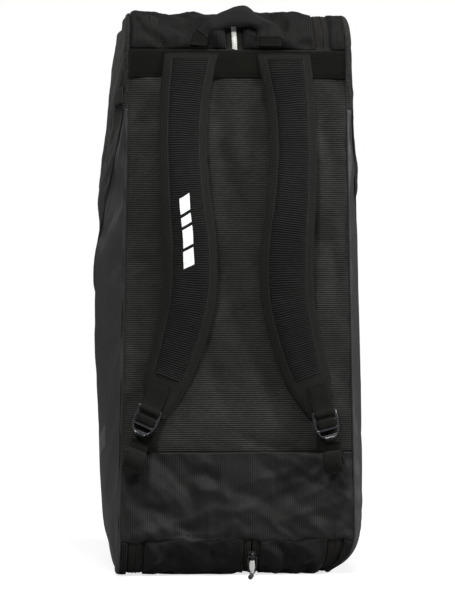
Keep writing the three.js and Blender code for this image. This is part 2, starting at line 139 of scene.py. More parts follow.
# ---------------------------------------------------------------- camera, light and stage
CAMERA = {"azimuth": math.radians(-5), "distance": 2.95, "height": 371 * MM, "lens": 122.7, "sensor": 36}
ROOM_LIGHT = 0.06
# each soft light's place, what it faces, the length of its edges and its watts
LIGHTS = {
    "overhead": ((0.2, -1.2, 3.0), (0, 0, 0), 1.4, 58),
    "key": ((-0.95, -2.7, 2.5), (0, 0, 0.4), 0.5, 82),
    "fill": ((2.9, -1.35, 1.5), (0, 0, 0.4), 0.5, 90),
    "rim": ((-1.4, 2.0, 1.6), (0, 0, 0.5), 1.0, 8),
}
FLOOR_REACH = 40.0


def placed(name, data):
    """A new object in the scene that shows this data."""
    obj = bpy.data.objects.new(name, data)
    scene.collection.objects.link(obj)
    return obj


def make_camera():
    data = bpy.data.cameras.new("camera")
    data.lens = CAMERA["lens"]
    data.sensor_width = CAMERA["sensor"]
    camera = placed("camera", data)
    azimuth, distance = CAMERA["azimuth"], CAMERA["distance"]
    camera.location = (math.sin(azimuth) * distance, -math.cos(azimuth) * distance, CAMERA["height"])
    camera.rotation_euler = (math.pi / 2, 0, azimuth)
    scene.camera = camera


def make_stage():
    world = bpy.data.worlds.new("studio")
    scene.world = world
    world.use_nodes = True
    tree = world.node_tree
    background = tree.nodes["Background"]
    background.inputs["Color"].default_value = (1.0, 1.0, 1.0, 1)
    # the studio's walls look white, and light the bag less than they show
    seen = tree.nodes.new("ShaderNodeLightPath")
    strength = tree.nodes.new("ShaderNodeMapRange")
    strength.inputs["To Min"].default_value = ROOM_LIGHT
    strength.inputs["To Max"].default_value = 1.0
    tree.links.new(seen.outputs["Is Camera Ray"], strength.inputs["Value"])
    tree.links.new(strength.outputs["Result"], background.inputs["Strength"])
    scene.view_settings.view_transform = "Standard"
    for name, (place, target, edge, watts) in LIGHTS.items():
        data = bpy.data.lights.new(name, "AREA")
        data.shape = "RECTANGLE"
        data.size = data.size_y = edge
        data.energy = watts
        light = placed(name, data)
        light.location = place
        light.rotation_euler = (Vector(target) - Vector(place)).to_track_quat("-Z", "Y").to_euler()
    mesh = bpy.data.meshes.new("floor")
    corners = [(x * FLOOR_REACH, y * FLOOR_REACH, 0) for x, y in ((-1, -1), (1, -1), (1, 1), (-1, 1))]
    mesh.from_pydata(corners, [], [(0, 1, 2, 3)])
    floor = placed("floor", mesh)
    floor.data.materials.append(stage_material())


# ---------------------------------------------------------------- materials
class Nodes:
    """A material's node tree, with short calls for the nodes used here."""

    def __init__(self, name):
        self.material = bpy.data.materials.new(name)
        self.material.use_nodes = True
        self.tree = self.material.node_tree

    def fill(self, node, inputs):
        """Links each input to a node's output, or sets it to a value."""
        for key, value in inputs.items():
            if isinstance(value, bpy.types.NodeSocket):
                self.tree.links.new(value, node.inputs[key])
            else:
                node.inputs[key].default_value = value

    def add(self, kind, inputs, **settings):
        node = self.tree.nodes.new("ShaderNode" + kind)
        for key, value in settings.items():
            setattr(node, key, value)
        self.fill(node, inputs)
        return node

    def finish(self, tone, rough, normal=None, **others):
        """Joins the colour, roughness, normal and other inputs to the shader."""
        inputs = {"Base Color": tone, "Roughness": rough}
        if normal is not None:
            inputs["Normal"] = normal
        inputs.update({key.replace("_", " "): value for key, value in others.items()})
        self.fill(self.tree.nodes["Principled BSDF"], inputs)
        return self.material

    def coords(self, space="Object"):
        return self.add("UVMap" if space == "UV" else "TexCoord", {}).outputs[space]

    def stretched(self, coords, rib_axis):
        """Coordinates drawn out along the ribs, for threads."""
        scale = [1.0 if axis == rib_axis else 0.3 for axis in "XYZ"]
        return self.add("VectorMath", {0: coords, 1: scale}, operation="MULTIPLY").outputs["Vector"]

    def noise(self, coords, scale, detail=3.0, rough=0.5):
        inputs = {"Vector": coords, "Scale": scale, "Detail": detail, "Roughness": rough}
        return self.add("TexNoise", inputs).outputs["Fac"]

    def ribs(self, coords, axis, period, distortion=0.0):
        """Parallel ribs along one axis: a band wave repeats every pi / 10 / scale."""
        inputs = {"Vector": coords, "Scale": math.pi / 10 / period, "Distortion": distortion, "Detail": 1.0,
                  "Detail Scale": 2.0}
        wave = self.add("TexWave", inputs, wave_type="BANDS", bands_direction=axis, wave_profile="SIN")
        return wave.outputs["Fac"]

    def math(self, kind, a, b):
        return self.add("Math", {0: a, 1: b}, operation=kind).outputs[0]

    def ramp(self, fac, *stops):
        node = self.add("ValToRGB", {"Fac": fac})
        ramp = node.color_ramp
        for _ in stops[2:]:
            ramp.elements.new(0.5)
        for element, (place, color) in zip(ramp.elements, stops):
            element.position = place
            element.color = (*color, 1)
        return node.outputs["Color"]

    def times(self, a, b):
        """Two colours multiplied."""
        inputs = {6: a, 7: b, "Factor": 1.0}
        return self.add("Mix", inputs, data_type="RGBA", blend_type="MULTIPLY").outputs[2]

    def bump(self, height, strength, distance, below=None):
        inputs = {"Strength": strength, "Distance": distance, "Height": height}
        if below is not None:
            inputs["Normal"] = below
        return self.add("Bump", inputs).outputs["Normal"]

    def map_range(self, value, low, high):
        return self.add("MapRange", {"Value": value, "To Min": low, "To Max": high}).outputs["Result"]


def shade(color, factor):
    return tuple(min(c * factor, 1.0) for c in color)


def grey(value):
    return (value,) * 3


def fabric(name, color, rib_axis, period, space="Object", rib_painted_shading=0.35, cross=None, rough=(0.7, 0.9),
           sheen=0.03, grain=2600, blotch=0.3, relief=0.5, gloss=0.12):
    """A ribbed or woven cloth: ribs, an optional cross weave, yarn grain and slow blotches of tone. The ribs'
    colour carries painted shade in their grooves and a painted highlight on their crests.
    """
    n = Nodes(name)
    coords = n.coords(space)
    ribs = n.ribs(coords, rib_axis, period, 0.12)
    if cross:
        ribs = n.math("MULTIPLY", ribs, n.map_range(n.ribs(coords, *cross, 0.1), 0.55, 1.0))
    yarn = n.noise(coords, grain, 2.0)
    slub = n.noise(n.stretched(coords, rib_axis), 420.0, 2.0)
    ribs = n.math("MULTIPLY", ribs, n.map_range(slub, 0.45, 1.25))
    slow = n.noise(coords, 9.0, 5.0, 0.6)
    # the ribs' colour is painted light: painted shade down each groove, a painted highlight along each crest,
    # on top of their bump
    tone = n.ramp(ribs, (0.0, shade(color, 1 - rib_painted_shading)), (0.5, color),
                  (1.0, shade(color, 1 + 1.4 * rib_painted_shading)))
    tone = n.times(tone, n.ramp(slow, (0.3, grey(1 - blotch)), (0.7, grey(1.0))))
    tone = n.times(tone, n.ramp(yarn, (0.3, grey(0.8)), (0.7, grey(1.0))))
    height = n.math("ADD", ribs, n.math("MULTIPLY", yarn, 0.35))
    creases = n.bump(n.noise(coords, 38.0, 4.0, 0.55), 0.22, 4 * MM)
    return n.finish(tone, n.map_range(slow, *rough), n.bump(height, relief, 0.5 * MM, creases),
                    Sheen_Weight=sheen, Sheen_Roughness=0.5, Specular_IOR_Level=gloss)


def coated_cloth(color):
    """The side panels' smooth coated cloth: fine leathery grain, satin, scuffed lighter in places."""
    n = Nodes("coated_cloth")
    coords = n.coords()
    scuff = n.noise(coords, 60.0, 6.0, 0.7)
    tone = n.ramp(n.noise(coords, 7.0, 5.0, 0.6), (0.3, shade(color, 0.85)), (0.7, shade(color, 1.2)))
    tone = n.times(tone, n.ramp(scuff, (0.0, grey(1.0)), (0.62, grey(1.0)), (0.8, (1.25, 1.25, 1.27))))
    folds = n.bump(n.noise(coords, 22.0, 3.0), 0.25, 5 * MM)
    leathery = n.bump(n.noise(coords, 900.0), 0.25, 0.25 * MM, folds)
    return n.finish(tone, n.map_range(scuff, 0.48, 0.66), leathery, Specular_IOR_Level=0.3)


def moulded_plastic():
    n = Nodes("moulded_plastic")
    coords = n.coords()
    scuff = n.noise(coords, 180.0, 5.0, 0.7)
    tone = n.ramp(scuff, (0.3, (0.008, 0.0085, 0.0095)), (0.75, (0.018, 0.019, 0.021)))
    fine = n.bump(n.noise(coords, 1500.0, 2.0), 0.12, 0.1 * MM)
    return n.finish(tone, n.map_range(scuff, 0.2, 0.36), fine, Specular_IOR_Level=0.65)


def enamelled_metal(name, color, rough):
    n = Nodes(name)
    wear = n.noise(n.coords(), 420.0, 5.0, 0.7)
    tone = n.ramp(wear, (0.0, color), (0.62, shade(color, 1.2)), (0.78, shade(color, 3.0)))
    return n.finish(tone, n.map_range(wear, rough * 0.7, rough * 1.5), Metallic=0.6, Coat_Weight=0.3)


def rubber():
    n = Nodes("rubber")
    dust = n.noise(n.coords(), 600.0, 4.0)
    tone = n.ramp(dust, (0.3, grey(0.012)), (0.8, (0.035, 0.035, 0.034)))
    return n.finish(tone, n.map_range(dust, 0.6, 0.85), n.bump(dust, 0.2, 0.2 * MM))


def coil_nylon(name, color, gloss=0.5):
    n = Nodes(name)
    soil = n.noise(n.coords(), 130.0, 4.0)
    tone = n.ramp(soil, (0.3, shade(color, 0.8)), (0.65, color))
    return n.finish(tone, n.map_range(soil, 0.35, 0.6), Specular_IOR_Level=gloss)


def print_ink(name, color):
    """A flexible print on cloth: slightly uneven, showing the ribs under it."""
    n = Nodes(name)
    coords = n.coords()
    patchy = n.noise(coords, 240.0, 4.0)
    tone = n.ramp(patchy, (0.3, shade(color, 0.88)), (0.6, color))
    return n.finish(tone, n.map_range(patchy, 0.45, 0.65), n.bump(n.ribs(coords, "Z", RIB), 0.3, 0.3 * MM))


def stage_material():
    n = Nodes("floor_paper")
    coords = n.coords()
    tone = n.ramp(n.noise(coords, 3.0), (0.3, grey(0.39)), (0.7, grey(0.41)))
    # the paper sweeps up into the bright wall far behind, and doesn't light the bag more than a floor would
    reach = n.add("VectorMath", {0: coords}, operation="LENGTH").outputs["Value"]
    sweep_up = n.map_range(n.math("DIVIDE", reach, 5.0), 0.72, 1.0)
    glow = n.math("MULTIPLY", sweep_up, n.add("LightPath", {}).outputs["Is Camera Ray"])
    return n.finish(tone, 0.9, Emission_Strength=glow, Emission_Color=(1.0, 1.0, 1.0, 1))


RIB = 2.9 * MM
# the face cloths' ribs get strong painted shade in their grooves and painted highlight on their crests
FACE_WEAVE = {"rib_painted_shading": 0.9, "relief": 0.55, "blotch": 0.55}
WEBBING_WEAVE = {"space": "UV", "cross": ("X", 2.6 * MM)}
WARM_BLACK = (0.034, 0.034, 0.0312)
OLIVE_BLACK = (0.0066, 0.0069, 0.0047)
# each finish: the material slot it fills, and the material
LOOKS = {
    "ribbed": ("ribbed_fabric", fabric("ribbed_cloth", WARM_BLACK, "Z", RIB, cross=("X", 1.3 * MM),
                                       **FACE_WEAVE)),
    "side_ribbed": ("ribbed_fabric", fabric("side_ribbed_cloth", WARM_BLACK, "Z", RIB, cross=("Y", 1.3 * MM),
                                            **FACE_WEAVE)),
    "fine": ("lower_fabric", fabric("fine_ribbed_cloth", (0.0125, 0.0125, 0.0120), "X", RIB, rib_painted_shading=0.5,
                                    rough=(0.5, 0.7), gloss=0.16, blotch=0.45)),
    # the ends' cloth is the lower panel's cloth painted darker: painted shade over the rounded ends
    "end": ("lower_fabric", fabric("end_cloth_painted_shade", (0.0088, 0.0088, 0.0083), "X", RIB, rib_painted_shading=0.6,
                                   rough=(0.55, 0.75), gloss=0.08, blotch=0.45)),
    "wrap": ("webbing", fabric("handle_cloth", (0.0125, 0.0125, 0.012), "Y", 1.6 * MM, "UV", rib_painted_shading=0.3)),
    "coated": ("coated_fabric", coated_cloth((0.029, 0.029, 0.0298))),
    "webbing": ("webbing", fabric("webbing", OLIVE_BLACK, "Y", 1.5 * MM, relief=0.8, grain=1800,
                                  **WEBBING_WEAVE)),
    "band": ("webbing", fabric("band_webbing", OLIVE_BLACK, "Y", 1.5 * MM, relief=1.0, gloss=0.07, blotch=0.6,
                               **WEBBING_WEAVE)),
    "binding": ("webbing", fabric("binding_tape", (0.0115, 0.0117, 0.0098), "Y", 1.2 * MM, "UV", relief=0.6)),
    "cover": ("ribbed_fabric", fabric("strap_cloth", (0.0126, 0.0126, 0.012), "Y", 3.05 * MM, "UV",
                                      rib_painted_shading=1.0, relief=1.1, gloss=0.06, blotch=0.45)),
    "tape": ("zip_tape", fabric("zip_tape_cloth", (0.012, 0.0115, 0.010), "Z", 1.1 * MM,
                                cross=("X", 1.6 * MM))),
    "lining": ("lining", fabric("lining_cloth", (0.045, 0.045, 0.047), "X", 0.9 * MM, cross=("Z", 0.9 * MM),
                                rib_painted_shading=0.2, sheen=0.1)),
    "plastic": ("buckle_plastic", moulded_plastic()),
    "metal": ("black_metal", enamelled_metal("black_enamel", grey(0.012), 0.28)),
    "link": ("black_metal", enamelled_metal("grey_link", grey(0.20), 0.4)),
    "pale_metal": ("black_metal", enamelled_metal("pale_metal", (0.55, 0.55, 0.54), 0.3)),
    "rubber": ("rubber_grip", rubber()),
    "pale_coil": ("zip_tape", coil_nylon("pale_coil", (0.62, 0.63, 0.59))),
    "dark_coil": ("zip_tape", coil_nylon("dark_coil", grey(0.02))),
    "thread": ("webbing", coil_nylon("thread", (0.014, 0.014, 0.012), 0.12)),
    "pale_thread": ("webbing", coil_nylon("pale_thread", (0.034, 0.034, 0.031), 0.2)),
    "piping": ("lower_fabric", fabric("piping_cloth", grey(0.018), "Y", 1.3 * MM, "UV", sheen=0.05)),
    "white_print": ("ribbed_fabric", print_ink("white_print", (0.82, 0.83, 0.83))),
    "grey_print": ("coated_fabric", print_ink("grey_print", (0.075, 0.075, 0.078))),
}


# ---------------------------------------------------------------- mesh helpers
def facing_out(verts, faces):
    """A closed mesh's faces turned outwards, whichever way round they were made."""
    v = np.array([tuple(p) for p in verts])
    volume = 0.0
    for face in faces:
        for i in range(1, len(face) - 1):
            volume += np.dot(v[face[0]], np.cross(v[face[i]], v[face[i + 1]]))
    return faces if volume >= 0 else [tuple(reversed(face)) for face in faces]


def piece(name, verts, faces, look, body=None, nodes=(), uvs=None, smooth=True, closed=True):
    mesh = bpy.data.meshes.new(name)
    if closed:
        faces = facing_out(verts, faces)
    mesh.from_pydata([tuple(v) for v in verts], [], faces)
    if uvs is not None:
        layer = mesh.uv_layers.new(name="UVMap")
        for loop in mesh.loops:
            layer.data[loop.index].uv = uvs[loop.vertex_index]
    mesh.polygons.foreach_set("use_smooth", [smooth] * len(mesh.polygons))
    mesh.update()
    return dress(placed(name, mesh), look, body, nodes)


def dress(obj, look, body, nodes=()):
    """Gives a piece its finish, the CAD nodes it stands for and the body it rides on."""
    slot, material = LOOKS[look]
    obj.data.materials.append(material)
    if nodes:
        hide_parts(*nodes)
    if body:
        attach(obj, body)
    return obj


def modify(obj, kind, **settings):
    modifier = obj.modifiers.new(kind.lower(), kind)
    for key, value in settings.items():
        setattr(modifier, key, value)
    return modifier


def soften(obj):
    """Rounds a stuffed piece's facets."""
    modify(obj, "SUBSURF", levels=1, render_levels=1)


def skin(rings, spine, looped=False):
    """A surface through rings of points, with its uv in metres round each ring and along the spine."""
    count, rows = len(rings[0]), len(rings)
    verts, uvs, faces = [], [], []
    travelled = 0.0
    for i, ring in enumerate(rings):
        if i:
            travelled += (spine[i] - spine[i - 1]).length
        girth = 0.0
        for k, point in enumerate(ring):
            if k:
                girth += (point - ring[k - 1]).length
            verts.append(point)
            uvs.append((girth, travelled))
    for i in range(rows if looped else rows - 1):
        for k in range(count):
            n, j = (k + 1) % count, (i + 1) % rows
            faces.append((i * count + k, i * count + n, j * count + n, j * count + k))
    if not looped:
        faces.append(tuple(range(count)))
        faces.append(tuple(reversed(range((rows - 1) * count, rows * count))))
    return verts, faces, uvs


def sweep(frames, sections, looped=False):
    """Outlines of (across, out) strung along frames of (point, across, out)."""
    rings = [[point + across * a + out * o for a, o in section]
             for (point, across, out), section in zip(frames, sections)]
    return skin(rings, [point for point, _, _ in frames], looped)


def lattice_faces(columns, rows):
    starts = [j * (columns + 1) + i for j in range(rows) for i in range(columns)]
    return [(k, k + 1, k + columns + 2, k + columns + 1) for k in starts]


def lattice(columns, rows, place):
    """Points over a grid of shares (u, v), row by row, and the faces between them."""
    points = [Vector(place(i / columns, j / rows)) for j in range(rows + 1) for i in range(columns + 1)]
    return points, lattice_faces(columns, rows)


def frames_along(points, across=None):
    """Frames along a path: with a fixed across direction, or turning as little as they can."""
    frames = []
    side = None
    for i, point in enumerate(points):
        tangent = (points[min(i + 1, len(points) - 1)] - points[max(i - 1, 0)]).normalized()
        if across is not None:
            side = (across - tangent * across.dot(tangent)).normalized()
        elif side is None:
            side = tangent.orthogonal().normalized()
        else:
            side = (side - tangent * side.dot(tangent)).normalized()
        frames.append((point, side, side.cross(tangent)))
    return frames


def circle(radius, count=8):
    angles = [2 * math.pi * k / count for k in range(count)]
    return [(radius * math.cos(angle), radius * math.sin(angle)) for angle in angles]


def band_outline(width, thickness):
    """The rounded section of a strip of webbing."""
    a, o, r = width / 2, thickness / 2, thickness * 0.3
    return [(-a, -o + r), (-a + r, -o), (-a * 0.5, -o), (0, -o), (a * 0.5, -o), (a - r, -o), (a, -o + r),
            (a, o - r), (a - r, o), (a * 0.5, o), (0, o), (-a * 0.5, o), (-a + r, o), (-a, o - r)]


def tube(name, points, radius, look, body, nodes=(), looped=False, count=8):
    verts, faces, uvs = sweep(frames_along(points), [circle(radius, count)] * len(points), looped)
    return piece(name, verts, faces, look, body, nodes, uvs)


def ribbon(name, points, across, width, thickness, look, body, nodes=()):
    outline = band_outline(width, thickness)
    verts, faces, uvs = sweep(frames_along(points, across), [outline] * len(points))
    return piece(name, verts, faces, look, body, nodes, uvs)


def spline(points, steps):
    """A smooth path through the points, with that many steps between each two."""
    pts = [Vector(p) for p in points]
    path = []
    for i in range(len(pts) - 1):
        a, b, c, d = pts[max(i - 1, 0)], pts[i], pts[i + 1], pts[min(i + 2, len(pts) - 1)]
        for s in range(steps):
            t = s / steps
            path.append(0.5 * ((2 * b) + (c - a) * t + (2 * a - 5 * b + 4 * c - d) * t ** 2
                               + (3 * b - a - 3 * c + d) * t ** 3))
    path.append(pts[-1])
    return path


def plate(name, outlines, thickness, bevel, place, look, body, nodes=()):
    """A flat plate with rounded edges, from closed outlines of (x, z) in mm; place puts its middle plane."""
    curve = bpy.data.curves.new(name, "CURVE")
    curve.dimensions = "2D"
    curve.fill_mode = "BOTH"
    curve.extrude = thickness / 2 - bevel
    curve.bevel_depth = bevel
    curve.bevel_resolution = 2
    curve.offset = -bevel
    for outline in outlines:
        line = curve.splines.new("POLY")
        line.points.add(len(outline) - 1)
        for point, (x, z) in zip(line.points, outline):
            point.co = (x * MM, z * MM, 0, 1)
        line.use_cyclic_u = True
    holder = placed(name + "_outline", curve)
    bpy.context.view_layer.update()
    mesh = bpy.data.meshes.new_from_object(holder.evaluated_get(bpy.context.evaluated_depsgraph_get()))
    mesh.name = name
    bpy.data.objects.remove(holder)
    mesh.materials.clear()
    for vertex in mesh.vertices:
        x, z, depth = vertex.co
        vertex.co = place(x, depth, z)
    mesh.polygons.foreach_set("use_smooth", [True] * len(mesh.polygons))
    mesh.update()
    obj = placed(name, mesh)
    modify(obj, "EDGE_SPLIT", split_angle=math.radians(35))
    return dress(obj, look, body, nodes)


RUFFLE_SIZE = 0.022
RUFFLE_OFFSETS = [Vector((0, 0, 0)), Vector((19.1, 33.4, 47.2)), Vector((74.2, -24.5, 99.4))]
STITCH = 2.8 * MM
STITCH_GAP = 1.4 * MM
THREAD = 0.38 * MM  # its radius


def ruffle(verts, amount, seed):
    """Small soft irregularities, the same at every run; noise_vector would start from the clock."""
    shift = Vector((seed, seed * 1.7, -seed))
    ways = [shift + offset for offset in RUFFLE_OFFSETS]
    return [v + Vector([noise.noise(v / RUFFLE_SIZE + way) for way in ways]) * amount for v in verts]


def lofted(name, rings, look, body, nodes, uneven, seed):
    """A closed, slightly uneven piece through rings of points."""
    verts, faces, uvs = skin(rings, [ring[len(ring) // 4] for ring in rings])
    return piece(name, ruffle(verts, uneven, seed), faces, look, body, nodes, uvs)


def marks_along(points):
    """How far each point of a path is from its start."""
    return np.concatenate([[0], np.cumsum([(b - a).length for a, b in zip(points, points[1:])])])


def point_at(points, marks, s):
    """The point at a distance along a path, and the number of the span it is on."""
    i = int(min(max(np.searchsorted(marks, s, side="right") - 1, 0), len(points) - 2))
    t = (s - marks[i]) / max(marks[i + 1] - marks[i], 1e-9)
    return points[i].lerp(points[i + 1], min(t, 1)), i


def stitches(name, points, body, look="thread", outs=None):
    """A row of thread dashes along a path that lies on the cloth; outs are the cloth's normals."""
    outs = outs or [OUT] * len(points)
    marks = marks_along(points)
    verts, faces = [], []
    s = STITCH_GAP
    while s + STITCH < marks[-1]:
        middle, span = point_at(points, marks, s + STITCH / 2)
        out = outs[span]
        ends = [point_at(points, marks, s)[0], middle + out * THREAD * 0.8,
                point_at(points, marks, s + STITCH)[0]]
        along = (ends[2] - ends[0]).normalized()
        side = along.cross(out).normalized()
        base = len(verts)
        for place, scale in zip(ends, (0.55, 1.0, 0.55)):
            verts += [place + (side * c + out * d) * scale for c, d in circle(THREAD, 5)]
        for low in (base, base + 5):
            for k in range(5):
                n = (k + 1) % 5
                faces.append((low + k, low + n, low + 5 + n, low + 5 + k))
        s += STITCH + STITCH_GAP
    return piece(name, verts, faces, look, body, closed=False)


# ---------------------------------------------------------------- the shell: sewn sheets round the bag
STEP = 7 * MM      # sheet mesh size before smoothing
FINE_STEP = 5 * MM  # and where the cloth is thin and creased
CLOTH = 4 * MM     # padded cloth thickness
CORNER = 5 * MM    # rounding where a side panel turns on to the faces
FACE_EDGE = {-1: 5.4 * MM, 1: 3.0 * MM}  # from the bag's side in to where the harness face ends
END_LENGTH = DEPTH + (math.pi - 2) * 52 * MM  # round an end, near enough for both radii
SOFT = (5 * MM, 5 * MM)  # how far the cloth may move out and in


class Sheet:
    """One cut piece of cloth before sewing: its points, faces, held edge and finish."""

    def __init__(self, name, body, look, limits, crisp=0.35, crumple=0.6, nodes=None):
        self.name, self.body, self.look, self.nodes = name, body, look, nodes or [name]
        self.limits, self.crisp, self.crumple = limits, crisp, crumple

    def grid(self, columns, rows, place):
        """Lays the cloth over a grid of shares, held along all four edges."""
        self.points, self.faces = lattice(columns, rows, place)
        self.held = {j * (columns + 1) + i for j in range(rows + 1) for i in range(columns + 1)
                     if i in (0, columns) or j in (0, rows)}
        return self

    def turned_out(self):
        centre = Vector((0, (BACK_Y + FRONT_Y) / 2, HEIGHT / 2))
        a, b, c, d = [self.points[i] for i in self.faces[len(self.faces) // 2]]
        if (b - a).cross(d - a).dot((a + c) / 2 - centre) < 0:
            self.faces = [tuple(reversed(face)) for face in self.faces]
        return self


def steps_for(length, step=STEP):
    return max(int(round(length / step)), 2)


def end_loop(end, t):
    """A stop on a rounded end, from the harness face round to the front: y, z and outward normal."""
    radius, sign = (BOTTOM_RADIUS, -1) if end == "bottom" else (TOP_RADIUS, 1)
    centre_z = radius if end == "bottom" else HEIGHT - radius
    arc, flat = radius * math.pi / 2, DEPTH - 2 * radius
    s = t * (2 * arc + flat)
    if s <= arc:
        ny, nz = -math.cos(s / radius), sign * math.sin(s / radius)
        return BACK_Y + radius + radius * ny, centre_z + radius * nz, ny, nz
    if s <= arc + flat:
        return BACK_Y + radius + s - arc, centre_z + sign * radius, 0.0, float(sign)
    turn = (s - arc - flat) / radius
    ny, nz = math.sin(turn), sign * math.cos(turn)
    return FRONT_Y - radius + radius * ny, centre_z + radius * nz, ny, nz


def face_edge(side, z):
    return half_width(z) - FACE_EDGE[side]


def across_face(u, z):
    """x across the harness face, from its left edge (0) to its right (1)."""
    return lerp(-face_edge(-1, z), face_edge(1, z), u)


def back_sheets():
    def face(low, high, low_gap, high_gap):
        return lambda u, v: (across_face(u, lerp(low, high, v)), BACK_Y,
                             lerp(low + low_gap, high - high_gap, v))
    upper = Sheet("harness_panel", "root", "ribbed", (1.8 * MM, 5 * MM), 1.0, 1.7, ["back_panel_upper"])
    upper.grid(steps_for(2 * HALF_TOP), steps_for(TOP_Z - SEAM_Z), face(SEAM_Z, TOP_Z, 0.1 * MM, 0.4 * MM))
    lower = Sheet("lower_panel", "root", "fine", (2.2 * MM, 7 * MM), 1.0, 4.2, ["back_panel_lower"])
    lower.grid(steps_for(2 * HALF_FLOOR, FINE_STEP), steps_for(SEAM_Z - BOTTOM_RADIUS, FINE_STEP),
               face(BOTTOM_RADIUS, SEAM_Z, 0.05 * MM, 0.1 * MM))
    return [upper, lower]


def end_sheet(name, end, low_x, high_x, body, corner_cover=False):
    """A panel over a rounded end. A corner cover also laps over the zip, down to the harness face."""
    def place(u, v):
        y, z, ny, nz = end_loop(end, v)
        low, high = low_x(z), high_x(z)
        if not corner_cover:
            return lerp(low, high, u), y, z
        reach = 1 - smooth((v - 0.19) / 0.06)
        x = lerp(lerp(low, -face_edge(-1, z) + 0.6 * MM, reach), high, u)
        lift = 2.0 * MM * reach * smooth((low + 6 * MM - x) / (8 * MM))
        return x, y + ny * lift, z + nz * lift
    width = abs(high_x(0) - low_x(0)) + (38 * MM if corner_cover else 0)
    sheet = Sheet(name, body, "end", SOFT, 0.8 if end == "bottom" else 0.3, 5.0 if body == "root" else 3.5)
    return sheet.grid(steps_for(width, FINE_STEP), steps_for(END_LENGTH, FINE_STEP), place)


def front_sheet(name, low_x, high_x, body):
    low_z, high_z = BOTTOM_RADIUS + 0.4 * MM, TOP_Z - 0.4 * MM

    def place(u, v):
        z = lerp(low_z, high_z, v)
        return lerp(low_x(z), high_x(z), u), FRONT_Y, z
    width = abs(high_x(0.4) - low_x(0.4))
    return Sheet(name, body, "ribbed", SOFT).grid(steps_for(width), steps_for(high_z - low_z), place)


def piped_seam(share):
    return PIPED_START - PIPED_DROP * math.sin(math.pi / 2 * share)


def side_outline(row_z):
    """y of a side panel's two edges at a height, and the outline's outward slope there."""
    if BOTTOM_RADIUS <= row_z <= TOP_Z:
        return BACK_Y + CORNER, FRONT_Y - CORNER, 0.0
    low = row_z < BOTTOM_RADIUS
    radius, drop = (BOTTOM_RADIUS, BOTTOM_RADIUS - row_z) if low else (TOP_RADIUS, row_z - TOP_Z)
    inner = radius - CORNER
    drop = min(drop, inner)
    reach = math.sqrt(max(inner ** 2 - drop ** 2, 0))
    return BACK_Y + radius - reach, FRONT_Y - radius + reach, drop / inner


# each side's two panels: finish, how far the cloth may move, crumple, CAD node, corner radius and length
SIDE_PANELS = {
    "lower": ("coated", (2.5 * MM, 3.5 * MM), 0.5, "side_panel", BOTTOM_RADIUS, 0.42),
    "upper": ("side_ribbed", (4 * MM, 5 * MM), 1.8, "side_panel_upper", TOP_RADIUS, 0.30),
}


def side_sheet(side, name, part):
    """A side panel, with a rounded lip that turns on to the faces and ends on three of its edges."""
    look, limits, crumple, node, radius, length = SIDE_PANELS[part]
    sheet = Sheet(f"side_{part}_{name}", f"lid_{name}", look, limits, 0.6, crumple, [f"{node}_{name}"])
    columns, arc_rows = steps_for(DEPTH), 8
    radius -= CORNER
    end_z, inward = (HEIGHT - CORNER, -1) if part == "upper" else (CORNER, 1)
    rows = arc_rows + steps_for(length)

    def place(u, v):
        j = round(v * rows)
        if j <= arc_rows:
            z = end_z + inward * radius * (1 - math.cos(math.pi / 2 * j / arc_rows))
        else:
            z = lerp(end_z + inward * radius, piped_seam(u), (j - arc_rows) / (rows - arc_rows))
        y0, y1, _ = side_outline(z)
        y = lerp(y0, y1, u)
        return side * sagged_x(side, y, z), y, z
    sheet.points, sheet.faces = lattice(columns, rows, place)

    def at(i, j):
        return j * (columns + 1) + i
    sheet.held = {at(i, rows) for i in range(columns + 1)}
    # the lip runs down one edge, along the end and up the other edge
    path = [(at(0, j), -1) for j in range(rows, 0, -1)]
    path += [(at(i, 0), 0) for i in range(columns + 1)]
    path += [(at(columns, j), 1) for j in range(1, rows + 1)]
    rings = [[index for index, _ in path]]
    for turn in (math.pi / 6, math.pi / 3, math.pi / 2):
        ring = []
        for index, way in path:
            p = sheet.points[index]
            slope = side_outline(p.z)[2] if way else 1.0
            normal = Vector((0, way * math.sqrt(max(1 - slope ** 2, 0)), -inward * slope))
            draw = (abs(p.x) - face_edge(side, p.z)) * (1 - math.cos(turn))
            ring.append(len(sheet.points))
            sheet.points.append(p + normal * CORNER * math.sin(turn) - Vector((side * draw, 0, 0)))
        rings.append(ring)
    for near, far in zip(rings, rings[1:]):
        for k in range(len(path) - 1):
            sheet.faces.append((near[k + 1], near[k], far[k], far[k + 1]))
    sheet.held.update(rings[-1])
    return sheet


def zip_line(zip_name, offset):
    return lambda z: zip_x(zip_name, z) + offset


def all_sheets():
    sheets = back_sheets()
    for end in ("bottom", "top"):
        sheets.append(end_sheet(f"{end}_end_left", end, zip_line("left", PANEL_EDGE),
                                zip_line("centre", -PANEL_EDGE), "root", end == "top"))
        sheets.append(end_sheet(f"{end}_end_right", end, zip_line("centre", PANEL_EDGE),
                                zip_line("right", -PANEL_EDGE), "root"))
    for name, side in SIDES:
        sheets.append(front_sheet(f"front_gusset_{name}", zip_line(name, -side * PANEL_EDGE),
                                  lambda z: side * (DIVIDER_X + 0.4 * MM), "root"))
        sheets.append(front_sheet(f"centre_flap_{name}", lambda z: side * (DIVIDER_X - 0.4 * MM),
                                  zip_line("centre", side * PANEL_EDGE), f"centre_flap_{name}"))
        strip = zip_line(name, side * PANEL_EDGE), lambda z: side * face_edge(side, z), f"lid_{name}"
        for end in ("bottom", "top"):
            sheets.append(end_sheet(f"lid_strip_{end}_{name}", end, *strip))
        sheets.append(front_sheet(f"lid_strip_front_{name}", *strip))
        sheets += [side_sheet(side, name, part) for part in SIDE_PANELS]
    return [sheet.turned_out() for sheet in sheets]


